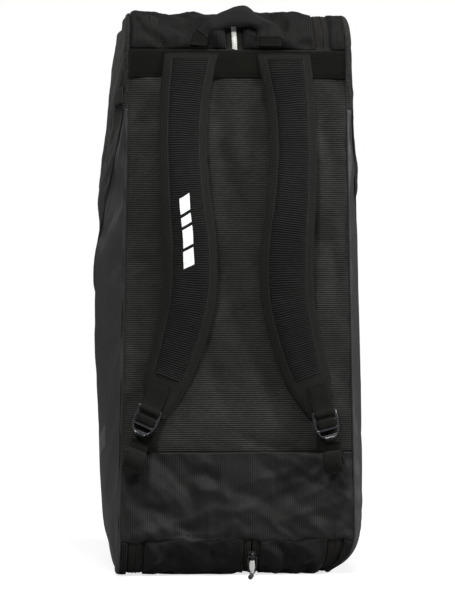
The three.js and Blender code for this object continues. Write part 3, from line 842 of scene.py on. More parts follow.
def sheet_mesh(sheets):
    verts, faces = [], []
    for sheet in sheets:
        base = len(verts)
        verts += sheet.points
        faces += [tuple(i + base for i in face) for face in sheet.faces]
    mesh = bpy.data.meshes.new("sheets")
    mesh.from_pydata([tuple(v) for v in verts], [], faces)
    mesh.update()
    return mesh


def rows_of(items, key):
    """A mesh's positions or normals, one row each."""
    values = np.zeros(len(items) * 3)
    items.foreach_get(key, values)
    return values.reshape(-1, 3)


def eased_inward(mesh, free, held):
    """Averages each point's freedom with its neighbours', keeping sewn points at nothing."""
    ends = np.zeros(len(mesh.edges) * 2, int)
    mesh.edges.foreach_get("vertices", ends)
    ends = ends.reshape(-1, 2)
    total, count = free.copy(), np.ones(len(free))
    for a, b in ((0, 1), (1, 0)):
        np.add.at(total, ends[:, a], free[ends[:, b]])
        np.add.at(count, ends[:, a], 1)
    return np.where(held, 0, total / count)


SIM_FRAMES = 22
CLOTH_SETTINGS = {
    "quality": 5, "mass": 0.2, "tension_stiffness": 25, "compression_stiffness": 25, "shear_stiffness": 10,
    "bending_stiffness": 1.2, "air_damping": 4, "vertex_group_mass": "sewn", "use_pressure": True,
    "uniform_pressure_force": 0.6,
    "shrink_min": -0.018,  # the cloth is cut this much larger than the form
}
MOST_SLIDE = 2.5 * MM  # along the cloth
ON_FLOOR = 3.5 * MM  # cloth that starts lower lies on the floor, and hardly slides
LEAST_Z = 0.3 * MM


def let_settle(mesh, begin, held):
    """Where the mesh's points come to rest, sewn down where they are held and swelled by pressure."""
    mesh.vertices.foreach_set("co", begin.ravel())
    cloth_obj = placed("settling_cloth", mesh)
    pins = cloth_obj.vertex_groups.new(name="sewn")
    pins.add([int(i) for i in np.flatnonzero(held)], 1.0, "REPLACE")
    modifier = cloth_obj.modifiers.new("cloth", "CLOTH")
    for key, value in CLOTH_SETTINGS.items():
        setattr(modifier.settings, key, value)
    modifier.settings.effector_weights.gravity = 0.1
    modifier.point_cache.frame_end = SIM_FRAMES
    for frame_no in range(1, SIM_FRAMES + 1):
        scene.frame_set(frame_no)
    settled = cloth_obj.evaluated_get(bpy.context.evaluated_depsgraph_get()).to_mesh()
    rest = rows_of(settled.vertices, "co")
    scene.frame_set(1)
    bpy.data.objects.remove(cloth_obj)
    return rest


def swell(sheets):
    """Sews every sheet down along its edges, lets the slack cloth settle, and caps how far it went."""
    mesh = sheet_mesh(sheets)
    start, normals = rows_of(mesh.vertices, "co"), rows_of(mesh.vertex_normals, "vector")
    held = np.zeros(len(start), bool)
    base = 0
    for sheet in sheets:
        held[[base + i for i in sheet.held]] = True
        base += len(sheet.points)
    limits = np.concatenate([[sheet.limits] * len(sheet.points) for sheet in sheets])
    crumple = np.concatenate([[sheet.crumple] * len(sheet.points) for sheet in sheets])
    # folds die out over the two rows of cloth next to each sewn edge
    free = (~held).astype(float)
    for _ in range(2):
        free = eased_inward(mesh, free, held)
    # slow unevenness, so that the slack gathers in folds of differing size
    seed = np.array([noise.noise(Vector(p) / 0.055) + 0.5 * noise.noise(Vector(p) / 0.021) for p in start])
    begin = start + normals * (seed * 1.6 * MM * ~held)[:, None]
    shift = let_settle(mesh, begin, held) - start
    out = (shift * normals).sum(1)
    cap = np.where(out > 0, limits[:, 0], limits[:, 1])
    slide = shift - normals * out[:, None]
    reach = np.linalg.norm(slide, axis=1, keepdims=True)
    slide = slide * np.minimum(1, MOST_SLIDE / np.maximum(reach, 1e-9))
    slide[start[:, 2] < ON_FLOOR] *= 0.2
    settled = start + normals * (cap * np.tanh(out / cap))[:, None] + slide
    settled += normals * ((creases(start) + crumpled(start, crumple)) * free)[:, None]
    settled = np.array([tuple(slumped(p)) for p in settled])
    settled[:, 2] = np.maximum(settled[:, 2], LEAST_Z)
    return settled


# families of random folds: their lean in degrees, and how long and how wide they run
FOLD_RUNS = [(35, 120 * MM, 21 * MM), (-40, 95 * MM, 17 * MM), (78, 150 * MM, 26 * MM)]


def crumpled(points, amount):
    """Long narrow random folds, stronger where the cloth is thin and slack."""
    folds = np.zeros(len(points))
    for i, (x, y, z) in enumerate(points):
        if amount[i] <= 0:
            continue
        flat = x + y  # along a face, whichever way it faces
        total = -0.3
        for seed, (lean, length, width) in enumerate(FOLD_RUNS):
            c, s = math.cos(math.radians(lean)), math.sin(math.radians(lean))
            run, cross = flat * c + z * s, -flat * s + z * c
            cross += 6 * MM * math.sin(run / (31 * MM) + seed)
            ridge = max(0.0, 1 - 3.0 * abs(noise.noise(Vector((run / length, cross / width, 7.3 * seed)))))
            gate = smooth(0.42 + 2.2 * noise.noise(Vector((run / 0.13, cross / 0.06, 3 + 5 * seed))))
            total += ridge ** 1.4 * gate
        folds[i] = amount[i] * MM * total
    return folds


# folds worked into the cloth: from (x, z) to (x, z), half-width and depth, in mm; negative stands proud
FOLDS = [
    # the diagonal pleat at the top left, and the full lower edge of the top
    ((-150, 770), (-101, 716), 3.0, 5.0), ((-141, 772), (-92, 722), 4.0, -4.0),
    ((-120, 736), (118, 734), 9, -4.5),
    # over the lower panel: the ridge where it turns under, and the hollows and ridges above it
    ((-150, 56), (-25, 92), 5, -4.2), ((-36, 92), (34, 94), 5, -4.2), ((24, 94), (70, 54), 5, -4.0),
    ((-92, 70), (-20, 64), 9, 4.5), ((-2, 88), (22, 56), 5, 4.0), ((44, 70), (104, 62), 9, 4.0),
    ((-120, 168), (-60, 118), 9, 5.5), ((-64, 142), (-20, 134), 8, 6.5), ((-60, 158), (-30, 150), 6, -3.5),
    ((-66, 128), (-8, 108), 7, -4.5), ((30, 160), (90, 96), 9, 5.5), ((64, 150), (132, 120), 7, 4.5),
    ((-20, 120), (50, 104), 8, 3.6), ((-136, 106), (-84, 84), 8, 4.4), ((84, 84), (140, 118), 7, -4.0),
    ((96, 92), (150, 70), 8, 5.0), ((-24, 166), (-14, 96), 5, -3.0), ((44, 140), (54, 96), 5, -3.0),
    # the bottom's fan of creases
    ((-118, 46), (-58, 12), 4, 5.2), ((-88, 48), (-30, 16), 4, -4.6), ((-56, 48), (-8, 20), 4, 4.8),
    ((-122, 28), (-86, 6), 4, 4.2), ((-50, 30), (-34, 6), 4, -4.0), ((-30, 40), (-16, 8), 3.5, -3.6),
    ((44, 48), (92, 16), 5, 5.4), ((76, 48), (120, 28), 4.5, -4.4), ((56, 22), (112, 12), 4.5, 4.4),
    ((36, 44), (58, 8), 4, -4.0), ((96, 46), (136, 22), 4.5, 4.0),
    # the top's
    ((-92, 754), (-36, 724), 5, 5.0), ((-64, 764), (-22, 744), 5, -4.4), ((-84, 736), (-50, 720), 4, 3.6),
    ((40, 758), (96, 728), 5, 5.0), ((58, 766), (104, 750), 4.5, -4.4), ((30, 750), (52, 720), 4, 4.2),
    ((70, 732), (102, 720), 4, 3.8), ((8, 764), (26, 728), 4, -4.0),
    # the harness face's long soft ones
    ((46, 676), (70, 560), 9, 6.5), ((28, 668), (44, 590), 7, -2.6), ((-34, 670), (-20, 560), 9, 5.0),
    ((-30, 600), (16, 470), 11, 6.0), ((-4, 640), (12, 520), 9, -2.6), ((-20, 420), (30, 300), 12, 6.0),
    ((20, 440), (44, 330), 9, -2.6), ((-50, 330), (-16, 230), 10, 5.6), ((24, 300), (60, 200), 10, 5.6),
    ((110, 640), (136, 520), 9, 6.0), ((124, 470), (140, 360), 8, 5.0), ((-132, 470), (-112, 340), 8, 5.0),
    ((-138, 640), (-122, 560), 7, 4.5), ((90, 250), (140, 196), 8, 5.0), ((-60, 240), (-92, 186), 7, 5.0),
    ((-26, 676), (-40, 600), 6, 5.0), ((30, 676), (44, 620), 5, 6.0), ((96, 500), (112, 420), 8, 4.0),
    ((-40, 470), (-52, 380), 7, 4.0), ((52, 470), (40, 400), 6, 4.0), ((-104, 290), (-140, 240), 6, 4.5),
]


def creases(points):
    """How far the folds near the harness side move each point along its normal."""
    total = np.zeros(len(points))
    near = points[:, 1] < BACK_Y + 58 * MM
    flat = points[:, [0, 2]] / MM
    for start, end, width, depth in FOLDS:
        a, b = np.array(start, float), np.array(end, float)
        way = b - a
        along = np.clip(((flat - a) @ way) / (way @ way), 0, 1)
        wander = 2.2 * np.sin(along * 7 + a[0])
        across = (flat - a) @ np.array([-way[1], way[0]]) / np.linalg.norm(way)
        beyond = np.linalg.norm(flat - (a + along[:, None] * way), axis=1)
        distance = np.where((along > 0) & (along < 1), np.abs(across - wander), beyond)
        fade = np.sin(np.pi * np.clip(along, 0.04, 0.96)) ** 0.6
        total -= depth * MM * np.exp(-((distance / width) ** 1.35)) * fade * near
    return total


def build_shell():
    sheets = all_sheets()
    settled = swell(sheets)
    base = 0
    for sheet in sheets:
        verts = settled[base:base + len(sheet.points)]
        base += len(sheet.points)
        obj = piece(sheet.name, verts, sheet.faces, sheet.look, closed=False)
        obj.data.materials.append(LOOKS["lining"][1])
        modify(obj, "SOLIDIFY", thickness=CLOTH, offset=-1, use_even_offset=False, material_offset=1,
               material_offset_rim=0, edge_crease_outer=sheet.crisp, edge_crease_rim=sheet.crisp * 0.5)
        modify(obj, "SUBSURF", levels=1, render_levels=1)
        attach(obj, sheet.body)
        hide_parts(*sheet.nodes)


# ---------------------------------------------------------------- zips
def zip_stops(part):
    """Stops along a zip: y, z and outward normal, over the ends, up the front, or right round."""
    rounded = [end_loop("bottom", t / 56) for t in range(57)]
    top = [end_loop("top", t / 56) for t in range(56, -1, -1)]
    front = [(FRONT_Y, lerp(BOTTOM_RADIUS, TOP_Z, t / 60), 1.0, 0.0) for t in range(1, 60)]
    return {"bottom": rounded, "top": top, "front": front, "whole": rounded + front + top}[part]


def zip_tape(name, zip_name, part, way, body, nodes):
    """One side of a zip's tape: flat beside the coil, dipping under the panel's edge."""
    section = [(1.0, -2.6), (2.5, -2.2), (6, -2.1), (9.5, -2.5), (12.8, -3.8), (12.8, -4.6), (6, -3.2),
               (1.0, -3.4)]
    if zip_name != "centre":
        # the side zips are turned face down: their tapes meet over the coil, with a ridge down each
        section = [(0.25, -2.4), (0.8, -1.7), (2.6, -1.5), (4.2, -2.3), (6.2, -1.9), (8.6, -2.4),
                   (12.8, -3.8), (12.8, -4.6), (6, -3.2), (0.25, -3.2)]
    frames = [(Vector((zip_x(zip_name, z), y, z)), Vector((way, 0, 0)), Vector((0, ny, nz)))
              for y, z, ny, nz in zip_stops(part)]
    outline = [(a * MM, o * MM) for a, o in section]
    verts, faces, uvs = sweep(frames, [outline] * len(frames))
    return piece(name, [slumped(v) for v in verts], faces, "tape", body, nodes, uvs)


def zip_coil(name, zip_name, part, way, body, look, start=0.0):
    """One row of teeth, half a pitch out of step with the row it locks into, from a point along the zip."""
    pitch, reach = 2.3 * MM, 3.4 * MM
    depth = 2.5 * MM if zip_name == "centre" else 5.6 * MM
    tooth = [(-0.5 * MM, 0), (reach, 0), (reach, 1.0 * MM), (reach * 0.6, 1.7 * MM), (0.0, 1.5 * MM),
             (-0.5 * MM, 0.9 * MM)]
    table = np.array(zip_stops(part))
    lengths = [math.hypot(dy, dz) for dy, dz in np.diff(table[:, :2], axis=0)]
    marks = np.concatenate([[0], np.cumsum(lengths)])
    verts, faces = [], []
    s = start + pitch * (0.75 if way > 0 else 0.25)
    while s < marks[-1]:
        y, z, ny, nz = [float(np.interp(s, marks, table[:, k])) for k in range(4)]
        normal = Vector((0, ny, nz)).normalized()
        along = Vector((0, -nz, ny)).normalized()
        foot = slumped(Vector((zip_x(zip_name, z), y, z)) - normal * depth)
        base = len(verts)
        for a, o in tooth:
            for half in (-0.36, 0.36):
                verts.append(foot + Vector((way * a, 0, 0)) + normal * o + along * half * pitch)
        for k in range(6):
            n = (k + 1) % 6
            faces.append((base + 2 * k, base + 2 * k + 1, base + 2 * n + 1, base + 2 * n))
        faces.append(tuple(base + 2 * k for k in range(5, -1, -1)))
        faces.append(tuple(base + 2 * k + 1 for k in range(6)))
        s += pitch
    return piece(name, verts, faces, look, body, smooth=False)


def build_zips():
    for name, side in SIDES:
        lid, flap = f"lid_{name}", f"centre_flap_{name}"
        zip_tape(f"zip_inner_{name}", name, "whole", -side, "root", [f"zip_tape_inner_{name}"])
        zip_tape(f"zip_outer_{name}", name, "whole", side, lid, [f"zip_tape_outer_{name}"])
        zip_coil(f"coil_inner_{name}", name, "whole", -side, "root", "dark_coil")
        zip_coil(f"coil_outer_{name}", name, "whole", side, lid, "dark_coil")
        zip_tape(f"zip_flap_{name}", "centre", "front", side, flap, [f"centre_zip_{name}"])
        zip_coil(f"coil_flap_{name}", "centre", "front", side, flap, "pale_coil")
    # under the bag the coil starts beyond the centre slider
    for end, start in (("bottom", 27 * MM), ("top", 0.0)):
        for name, side in SIDES:
            nodes = [f"centre_zip_{end}"] if name == "left" else []
            zip_tape(f"zip_centre_{end}_{name}", "centre", end, side, "root", nodes)
            zip_coil(f"coil_centre_{end}_{name}", "centre", end, side, "root", "pale_coil", start)


def slider(name, origin, along, outward, body, nodes):
    """A zip slider: two leaves, and the bridge that holds the pull."""
    across = along.cross(outward)

    def place_leaf(height):
        return lambda x, depth, z: origin + across * x + outward * (height + depth) + along * z
    leaf = [(-4.5, 8), (-5.2, 3), (-4.6, -7), (-3.4, -8), (3.4, -8), (4.6, -7), (5.2, 3), (4.5, 8),
            (2.0, 6.4), (-2.0, 6.4)]
    plate(f"{name}_leaf", [leaf], 1.6 * MM, 0.5 * MM, place_leaf(2.4 * MM), "metal", body, nodes)
    plate(f"{name}_lower_leaf", [leaf], 1.4 * MM, 0.4 * MM, place_leaf(0.0), "metal", body)
    arch = [(-5.6, 2.6), (-5.4, 5.6), (-3.8, 7.0), (0, 7.4), (3.8, 7.0), (5.4, 5.6), (5.6, 2.6)]
    path = spline([origin + along * a * MM + outward * o * MM for a, o in arch], 4)
    ribbon(f"{name}_bridge", path, across, 3.6 * MM, 1.3 * MM, "metal", body)


def eye_of(node):
    """Where a pull hangs: just under the top of its CAD node's box."""
    low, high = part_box(node)
    return Vector(((low.x + high.x) / 2, (low.y + high.y) / 2, high.z - 1 * MM))


def pull_ring(name, node, half, length, thickness, body):
    """A pull's teardrop ring, hanging from its eye."""
    eye = eye_of(node)
    shape = [(0, 0.9), (0.55, 0.7), (0.86, -0.6), (1.0, -3.2), (0.96, -7), (0.72, -length * 0.78),
             (0.32, -length * 0.95), (0, -length + 0.6)]
    right = [eye + ACROSS * (x * half) + UP * (z * MM) for x, z in shape]
    left = [eye - ACROSS * (x * half) + UP * (z * MM) for x, z in reversed(shape[1:-1])]
    tube(name, spline(right, 4) + spline(left, 4), thickness, "metal", body, [node], looped=True)


def build_sliders():
    for name, _ in SIDES:
        low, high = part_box(f"{name}_slider")
        slope = (ZIPS[name][1] - ZIPS[name][0]) / HEIGHT
        along = Vector((slope, 0, 1)).normalized()
        origin = Vector(((low.x + high.x) / 2, FRONT_Y - 0.7 * MM, (low.z + high.z) / 2))
        slider(f"slider_{name}", origin, along, -OUT, f"slider_{name}", [f"{name}_slider"])
        pull = f"pull_{name}"
        pull_ring(f"pull_ring_{name}", f"{name}_pull", 4.6 * MM, 12, 0.85 * MM, pull)
        eye = eye_of(f"{name}_pull")
        tab = [(-3.4, -11), (-4.4, -15), (-4.4, -27), (-3, -31), (3, -31), (4.4, -27), (4.4, -15), (3.4, -11)]
        plate(f"pull_tab_{name}", [tab], 2.6 * MM, 0.8 * MM, lambda x, d, z: eye + Vector((x, d, z)),
              "rubber", pull)
    build_centre_pull()


def build_centre_pull():
    eye = eye_of("centre_pull_ring")
    angle = math.radians(24.8)  # how far round the bottom the slider sits
    outward = Vector((0, -math.cos(angle), -math.sin(angle)))
    along = Vector((0, -math.sin(angle), math.cos(angle)))
    origin = Vector((eye.x, BACK_Y + BOTTOM_RADIUS, BOTTOM_RADIUS)) + outward * (BOTTOM_RADIUS - 0.7 * MM)
    slider("centre_slider_body", origin, along, outward, "centre_slider", ["centre_slider"])
    pull_ring("centre_ring", "centre_pull_ring", 5.9 * MM, 23, 0.95 * MM, "centre_ring")
    insert = [(-2.6, -4.6), (-3.6, -9), (-3.9, -14), (-2.6, -19), (0, -20.6), (2.6, -19), (3.9, -14),
              (3.6, -9), (2.6, -4.6), (0, -3.8)]
    plate("centre_pull_insert", [insert], 1.5 * MM, 0.5 * MM, lambda x, d, z: eye + Vector((x, d, z)),
          "pale_metal", "centre_ring")

    # the cord grip lies on the floor: a small link and a ribbed barrel
    turn = math.radians(12)
    way = Vector((-math.sin(turn), -math.cos(turn), 0))
    start = Vector((eye.x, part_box("centre_pull_grip")[1].y, 3.5 * MM))
    shape = [(-2.0, 0), (-1.2, 1.6), (1.6, 2.1), (4.6, 1.4), (5.4, 0), (4.6, -1.4), (1.6, -2.1), (-1.2, -1.6)]
    link = [start + way * t * MM + UP * z * MM for t, z in shape + shape[:1]]
    tube("grip_link", spline(link, 3)[:-1], 0.8 * MM, "link", "centre_grip", looped=True, count=6)
    profile = [(5.0, 1.2), (6.0, 2.2), (7.0, 2.6)]
    for k in range(6):
        s = 7.6 + k * 2.7
        profile += [(s, 3.1), (s + 1.4, 3.15), (s + 1.7, 2.55), (s + 2.4, 2.55)]
    profile += [(24.4, 3.1), (25.6, 2.6), (26.2, 1.2)]
    frames = frames_along([start + way * s * MM for s, _ in profile])
    verts, faces, uvs = sweep(frames, [circle(r * MM, 14) for _, r in profile])
    piece("grip_barrel", verts, faces, "rubber", "centre_grip", ["centre_pull_grip"])


# ---------------------------------------------------------------- shoulder straps
# down a strap's middle line: height, distance out from the bag's middle and width, in mm
STRAP_STATIONS = [
    (711.5, 62, 74), (646, 71.7, 66), (579, 74.3, 64), (511, 71, 67), (443, 65.2, 72), (376, 67.3, 72),
    (308, 83, 67), (260, 99, 58), (220, 111, 29),
]
STRAP_PAD = 9 * MM
STRAP_REST = 3.2 * MM  # how far a strap stands off the harness face, and how much more in its middle
STRAP_BOW = 18 * MM
STRAP_LENGTH = 477 * MM
BINDING = 12 * MM
COVER = (0.02, 0.84)
BUCKLE_OFF = 14.6 * MM
BUCKLE_THICK = 4.5 * MM
# x and z of the buckle's top bar and of the roll's middle, in mm, and how they lean, in degrees
ADJUSTERS = {
    "left": {"side": -1, "bar": (119, 228), "lean": 24.6, "roll": (141, 162), "tilt": 22, "yaw": 0},
    "right": {"side": 1, "bar": (116, 223), "lean": 14.3, "roll": (129, 158), "tilt": -9, "yaw": 18},
}


def strap_station(v):
    """Height, distance out and width of a strap at v, from its top (0) to its tip (1), and its slope."""
    last = len(STRAP_STATIONS) - 1
    s = min(max(v, 0.0), 1.0) * last
    i = min(int(s), last - 1)
    t = s - i
    rows = [np.array(STRAP_STATIONS[k], float) for k in (i, i + 1)]
    # the end segments lean on a mirrored neighbour
    before = np.array(STRAP_STATIONS[i - 1], float) if i > 0 else 2 * rows[0] - rows[1]
    after = np.array(STRAP_STATIONS[i + 2], float) if i < last - 1 else 2 * rows[1] - rows[0]
    spans = [max(np.linalg.norm(q - p), 1e-6) ** 0.5 for p, q in
             ((before, rows[0]), (rows[0], rows[1]), (rows[1], after))]
    m0 = ((rows[0] - before) / spans[0] - (rows[1] - before) / (spans[0] + spans[1])
          + (rows[1] - rows[0]) / spans[1]) * spans[1]
    m1 = ((rows[1] - rows[0]) / spans[1] - (after - rows[0]) / (spans[1] + spans[2])
          + (after - rows[1]) / spans[2]) * spans[1]
    value = ((2 * t ** 3 - 3 * t ** 2 + 1) * rows[0] + (t ** 3 - 2 * t ** 2 + t) * m0
             + (-2 * t ** 3 + 3 * t ** 2) * rows[1] + (t ** 3 - t ** 2) * m1)
    slope = ((6 * t ** 2 - 6 * t) * rows[0] + (3 * t ** 2 - 4 * t + 1) * m0
             + (-6 * t ** 2 + 6 * t) * rows[1] + (3 * t ** 2 - 2 * t) * m1)
    return value * MM, slope


def strap_point(side, v, across, off):
    (z, x, _), (dz, dx, _) = strap_station(v)
    length = math.hypot(dx, dz)
    share = min(max((STRAP_STATIONS[0][0] * MM - z) / STRAP_LENGTH, 0), 1)
    bow = STRAP_BOW * math.sin(math.pi * share) ** 2
    px = x - across * dz / length
    pz = z + across * dx / length * smooth(v / 0.14)
    return Vector((side * px, BACK_Y - STRAP_REST - bow - off, pz))


def strap_width(v):
    return strap_station(v)[0][2]


def pad_front(v, across):
    crown = 1 - 0.4 * (2 * across / strap_width(v)) ** 2
    return STRAP_PAD * crown * lerp(0.45, 1, smooth(v / 0.06))


def strap_section(v, side):
    """The bound pad's section: crowned in front, flat behind, its edges rolled."""
    width = strap_width(v)
    points = []
    shares = [math.sin(math.pi / 2 * s) for s in np.linspace(-1, 1, 17)]
    for s in shares:
        a = s * width / 2
        roll = abs(s) ** 9
        points.append((a, pad_front(v, a) * (1 - 0.62 * roll)))
    for s in reversed(shares[1:-1]):
        a = s * width / 2
        points.append((a, pad_front(v, a) * 0.38 * abs(s) ** 9))
    return [strap_point(side, v, a, o) for a, o in points]


def cover_swell(share):
    """How much the ribbed cover swells up, at a share of the way from its middle to an edge."""
    return 2.4 * MM * (1 - abs(share) ** 5) ** 0.8


def cover_section(v, side):
    """The ribbed panel on the pad, between its two stitched edges."""
    half = strap_width(v) / 2 - BINDING
    top, bottom = [], []
    for s in np.linspace(-1, 1, 15):
        a = s * half
        top.append(strap_point(side, v, a, pad_front(v, a) + cover_swell(s) + 0.2 * MM))
        bottom.append(strap_point(side, v, a, pad_front(v, a) - 0.8 * MM))
    return top + list(reversed(bottom))


# generic printed marks: slanted bars up the left strap, as (lowest share, highest share)
STRAP_MARKS = [(0.368, 0.408), (0.416, 0.437), (0.445, 0.492), (0.5, 0.543)]
MARK_HALF = 7 * MM
COVER_UNEVEN = 1.0 * MM


def strap_marks():
    for number, (start, end) in enumerate(STRAP_MARKS):
        def place(u, w):
            s = 2 * u - 1
            v = lerp(start, end, w) + s * 0.006
            a = s * MARK_HALF + 3 * MM
            swell_up = cover_swell(a / (strap_width(v) / 2 - BINDING))
            return strap_point(-1, v, a, pad_front(v, a) + swell_up + 0.8 * MM)
        verts, faces = lattice(8, 10, place)
        verts = ruffle(verts, COVER_UNEVEN, -0.7)  # as the left cover is
        faces = [tuple(reversed(face)) for face in faces]
        piece(f"strap_mark_{number}", verts, faces, "white_print", "strap_left", closed=False)


# rows of stitching down a strap: where along it, how far in from its edge and off it, and the thread
STRAP_STITCHES = {
    "cover": ((*COVER, 120), BINDING - 1.3 * MM, 0.35 * MM, "pale_thread"),
    "binding": ((0.01, 0.985, 140), 2.6 * MM, 0.3 * MM, "thread"),
}


def build_straps():
    for name, adjuster in ADJUSTERS.items():
        side = adjuster["side"]
        body = f"strap_{name}"
        pad = lofted(f"pad_{name}", [strap_section(v, side) for v in np.linspace(0, 1, 110)], "binding", body,
                     [f"strap_pad_{name}"], 0.8 * MM, side * 0.3)
        cover = lofted(f"cover_{name}", [cover_section(v, side) for v in np.linspace(*COVER, 100)], "cover",
                       body, [f"strap_cover_{name}"], COVER_UNEVEN, side * 0.7)
        soften(cover)
        for edge, where in ((-1, "in"), (1, "out")):
            for row, (stops, inset, lift, thread) in STRAP_STITCHES.items():
                path = []
                for v in np.linspace(*stops):
                    a = edge * (strap_width(v) / 2 - inset)
                    path.append(strap_point(side, v, a, pad_front(v, a) + lift))
                stitches(f"{row}_stitch_{name}_{where}", path, body, thread)
        build_adjuster(name, adjuster)
    strap_marks()


def build_adjuster(name, adjuster):
    """The webbing tab, its ladder-lock, the lower webbing threaded through it and the rolled spare end."""
    side = adjuster["side"]
    strap, buckle = f"strap_{name}", f"buckle_{name}"
    lean = side * math.radians(adjuster["lean"])
    down = Vector((math.sin(lean), 0, -math.cos(lean)))
    across = Vector((math.cos(lean), 0, math.sin(lean)))
    bar = Vector((side * adjuster["bar"][0] * MM, BACK_Y, adjuster["bar"][1] * MM))

    def through(*stops):
        return [bar + down * along * MM + OUT * off * MM for along, off in stops]

    # the tab comes down over the pad's tip, round the top bar and back up behind it
    tab = through((-38, 12.8), (-30, 13.9), (-14, 15.0), (-5, 17.6), (-1.5, 20.6), (1.8, 21.0), (3.9, 18.6),
                  (3.6, 14.4), (0, 12.4), (-6, 11.6), (-14, 11.0))
    ribbon(f"tab_{name}", spline(tab, 5), across, 28 * MM, 1.7 * MM, "webbing", strap,
           [f"webbing_tab_{name}"])
    box = [(-12, -33), (12, -33), (12, -14), (-12, -14), (-12, -33), (12, -14)]
    path = [through((along, 15.9 - 2.2 * max(0, (-along - 14) / 20)))[0] + across * a * MM
            for a, along in box]
    stitches(f"tab_stitch_{name}", path, strap)

    # the buckle: a slotted plate, three bars and a lifted tab
    middle = BUCKLE_OFF + BUCKLE_THICK / 2
    half, top, low = 17, 3.2, -35.8
    right = [(half - 1.5, top), (half, top - 2), (half + 0.4, -12), (half - 0.4, -22), (half - 5, low + 5),
             (half - 11, low)]
    outlines = [
        right + [(-x, z) for x, z in reversed(right)],
        [(-13.6, -1.4), (13.6, -1.4), (13.6, -9.6), (-13.6, -9.6)],
        [(-13.6, -12.8), (13.6, -12.8), (13.4, -20.4), (-13.4, -20.4)],
        [(-13.0, -24.0), (13.0, -24.0), (9.6, -30.2), (-9.6, -30.2)],
    ]
    plate(f"buckle_plate_{name}", outlines, BUCKLE_THICK, 0.9 * MM,
          lambda x, depth, z: bar + across * x - down * z + OUT * (middle - depth), "plastic", buckle,
          [f"ladder_lock_{name}"])
    for number, along in enumerate((0.4, 11.2, 22.2)):
        centre = bar + down * along * MM + OUT * (middle + 0.9 * MM)
        tube(f"buckle_bar_{name}_{number}", [centre + across * a * MM for a in (-15.6, -8, 0, 8, 15.6)],
             1.5 * MM, "plastic", buckle)
    verts, faces, uvs = sweep(frames_along(through((30.5, 17.6), (33.5, 19.4), (36.4, 21.4)), across),
                              [band_outline(w * MM, 2.0 * MM) for w in (22, 17, 10)])
    piece(f"buckle_thumb_{name}", verts, faces, "plastic", buckle)

    # the lower webbing rises from its seam, and a threaded turn of it grips the middle bar
    anchor = Vector((side * 120 * MM, BACK_Y - 1.5 * MM, 171 * MM))
    slot_point = through((18, 11.7))[0]
    path = spline([anchor, anchor.lerp(slot_point, 0.35) + OUT * 2.0 * MM,
                   anchor.lerp(slot_point, 0.75) + OUT * 1.2 * MM, slot_point], 8)
    lower = ribbon(f"lower_strap_{name}", path, across, 25 * MM, 1.7 * MM, "webbing", None,
                   [f"lower_webbing_{name}"])
    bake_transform(lower)
    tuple(slot_point)
    behind = through((0.5, 13.2), (4.5, 16.4), (9.4, 16.8), (12, 14.2))
    turn = through((14.5, 13.4), (11.6, 13.8), (9.9, 15.4), (9.2, 18.4), (10.6, 20.9), (13, 21.6),
                   (17.6, 21.2), (19.6, 19.0), (20.4, 15.4), (22, 12.9), (26, 12.2))
    for part, path in (("back", spline(behind, 4)), ("turn", spline(turn, 5))):
        ribbon(f"threaded_{part}_{name}", path, across, 24.5 * MM, 1.5 * MM, "webbing", buckle)

    # the spare webbing: a tail down from the buckle, rolled up on itself
    centre = Vector((side * adjuster["roll"][0] * MM, BACK_Y - 22 * MM, adjuster["roll"][1] * MM))
    tilt, yaw = math.radians(adjuster["tilt"]), math.radians(adjuster["yaw"])
    axis = Vector((math.cos(yaw) * math.cos(tilt), -math.sin(yaw) * math.cos(tilt), -math.sin(tilt)))
    up = Vector((math.sin(tilt) * math.cos(yaw), -math.sin(tilt) * math.sin(yaw), math.cos(tilt)))
    back = axis.cross(up)
    if back.y < 0:
        back = -back
    path = []
    for k in range(6):
        path.append(centre + up * (25 - 4.6 * k) * MM + back * (7.6 - 0.5 * k) * MM)
    turns, steps = 3.1, 90
    for k in range(steps + 1):
        t = k / steps
        angle = turns * 2 * math.pi * t
        radius = lerp(15.9, 6.0, t) * MM * (1 + 0.035 * math.sin(3 * angle + side))
        path.append(centre + back * (radius * math.cos(angle)) - up * (radius * 0.98 * math.sin(angle)))
    path = path[:5] + path[9:]  # the tail runs on to the roll without a kink
    ribbon(f"rolled_end_{name}", path, axis, 25 * MM, 1.75 * MM, "webbing", f"roll_{name}",
           [f"webbing_roll_{name}"])


# ---------------------------------------------------------------- handles, band and trims
def resample(points, count):
    """That many points along a path, evenly spaced."""
    marks = marks_along(points)
    return [point_at(points, marks, marks[-1] * k / (count - 1))[0] for k in range(count)]


# the grab handle's outer and inner edges, (x, height over its feet) in mm
GRAB_OUTER = [(-65, 0), (-64, 9), (-50, 23), (-28, 42), (-14, 48.5), (0, 54), (14.5, 54), (30, 40), (43, 34),
              (55, 28), (62, 11), (60, 0)]
GRAB_INNER = [(-41, 0), (-39.5, 10), (-37, 14.5), (-20, 22), (-10, 24.5), (4, 24.8), (18, 24.5), (24, 22.4),
              (27, 18.5), (27.4, 9), (27, 0)]


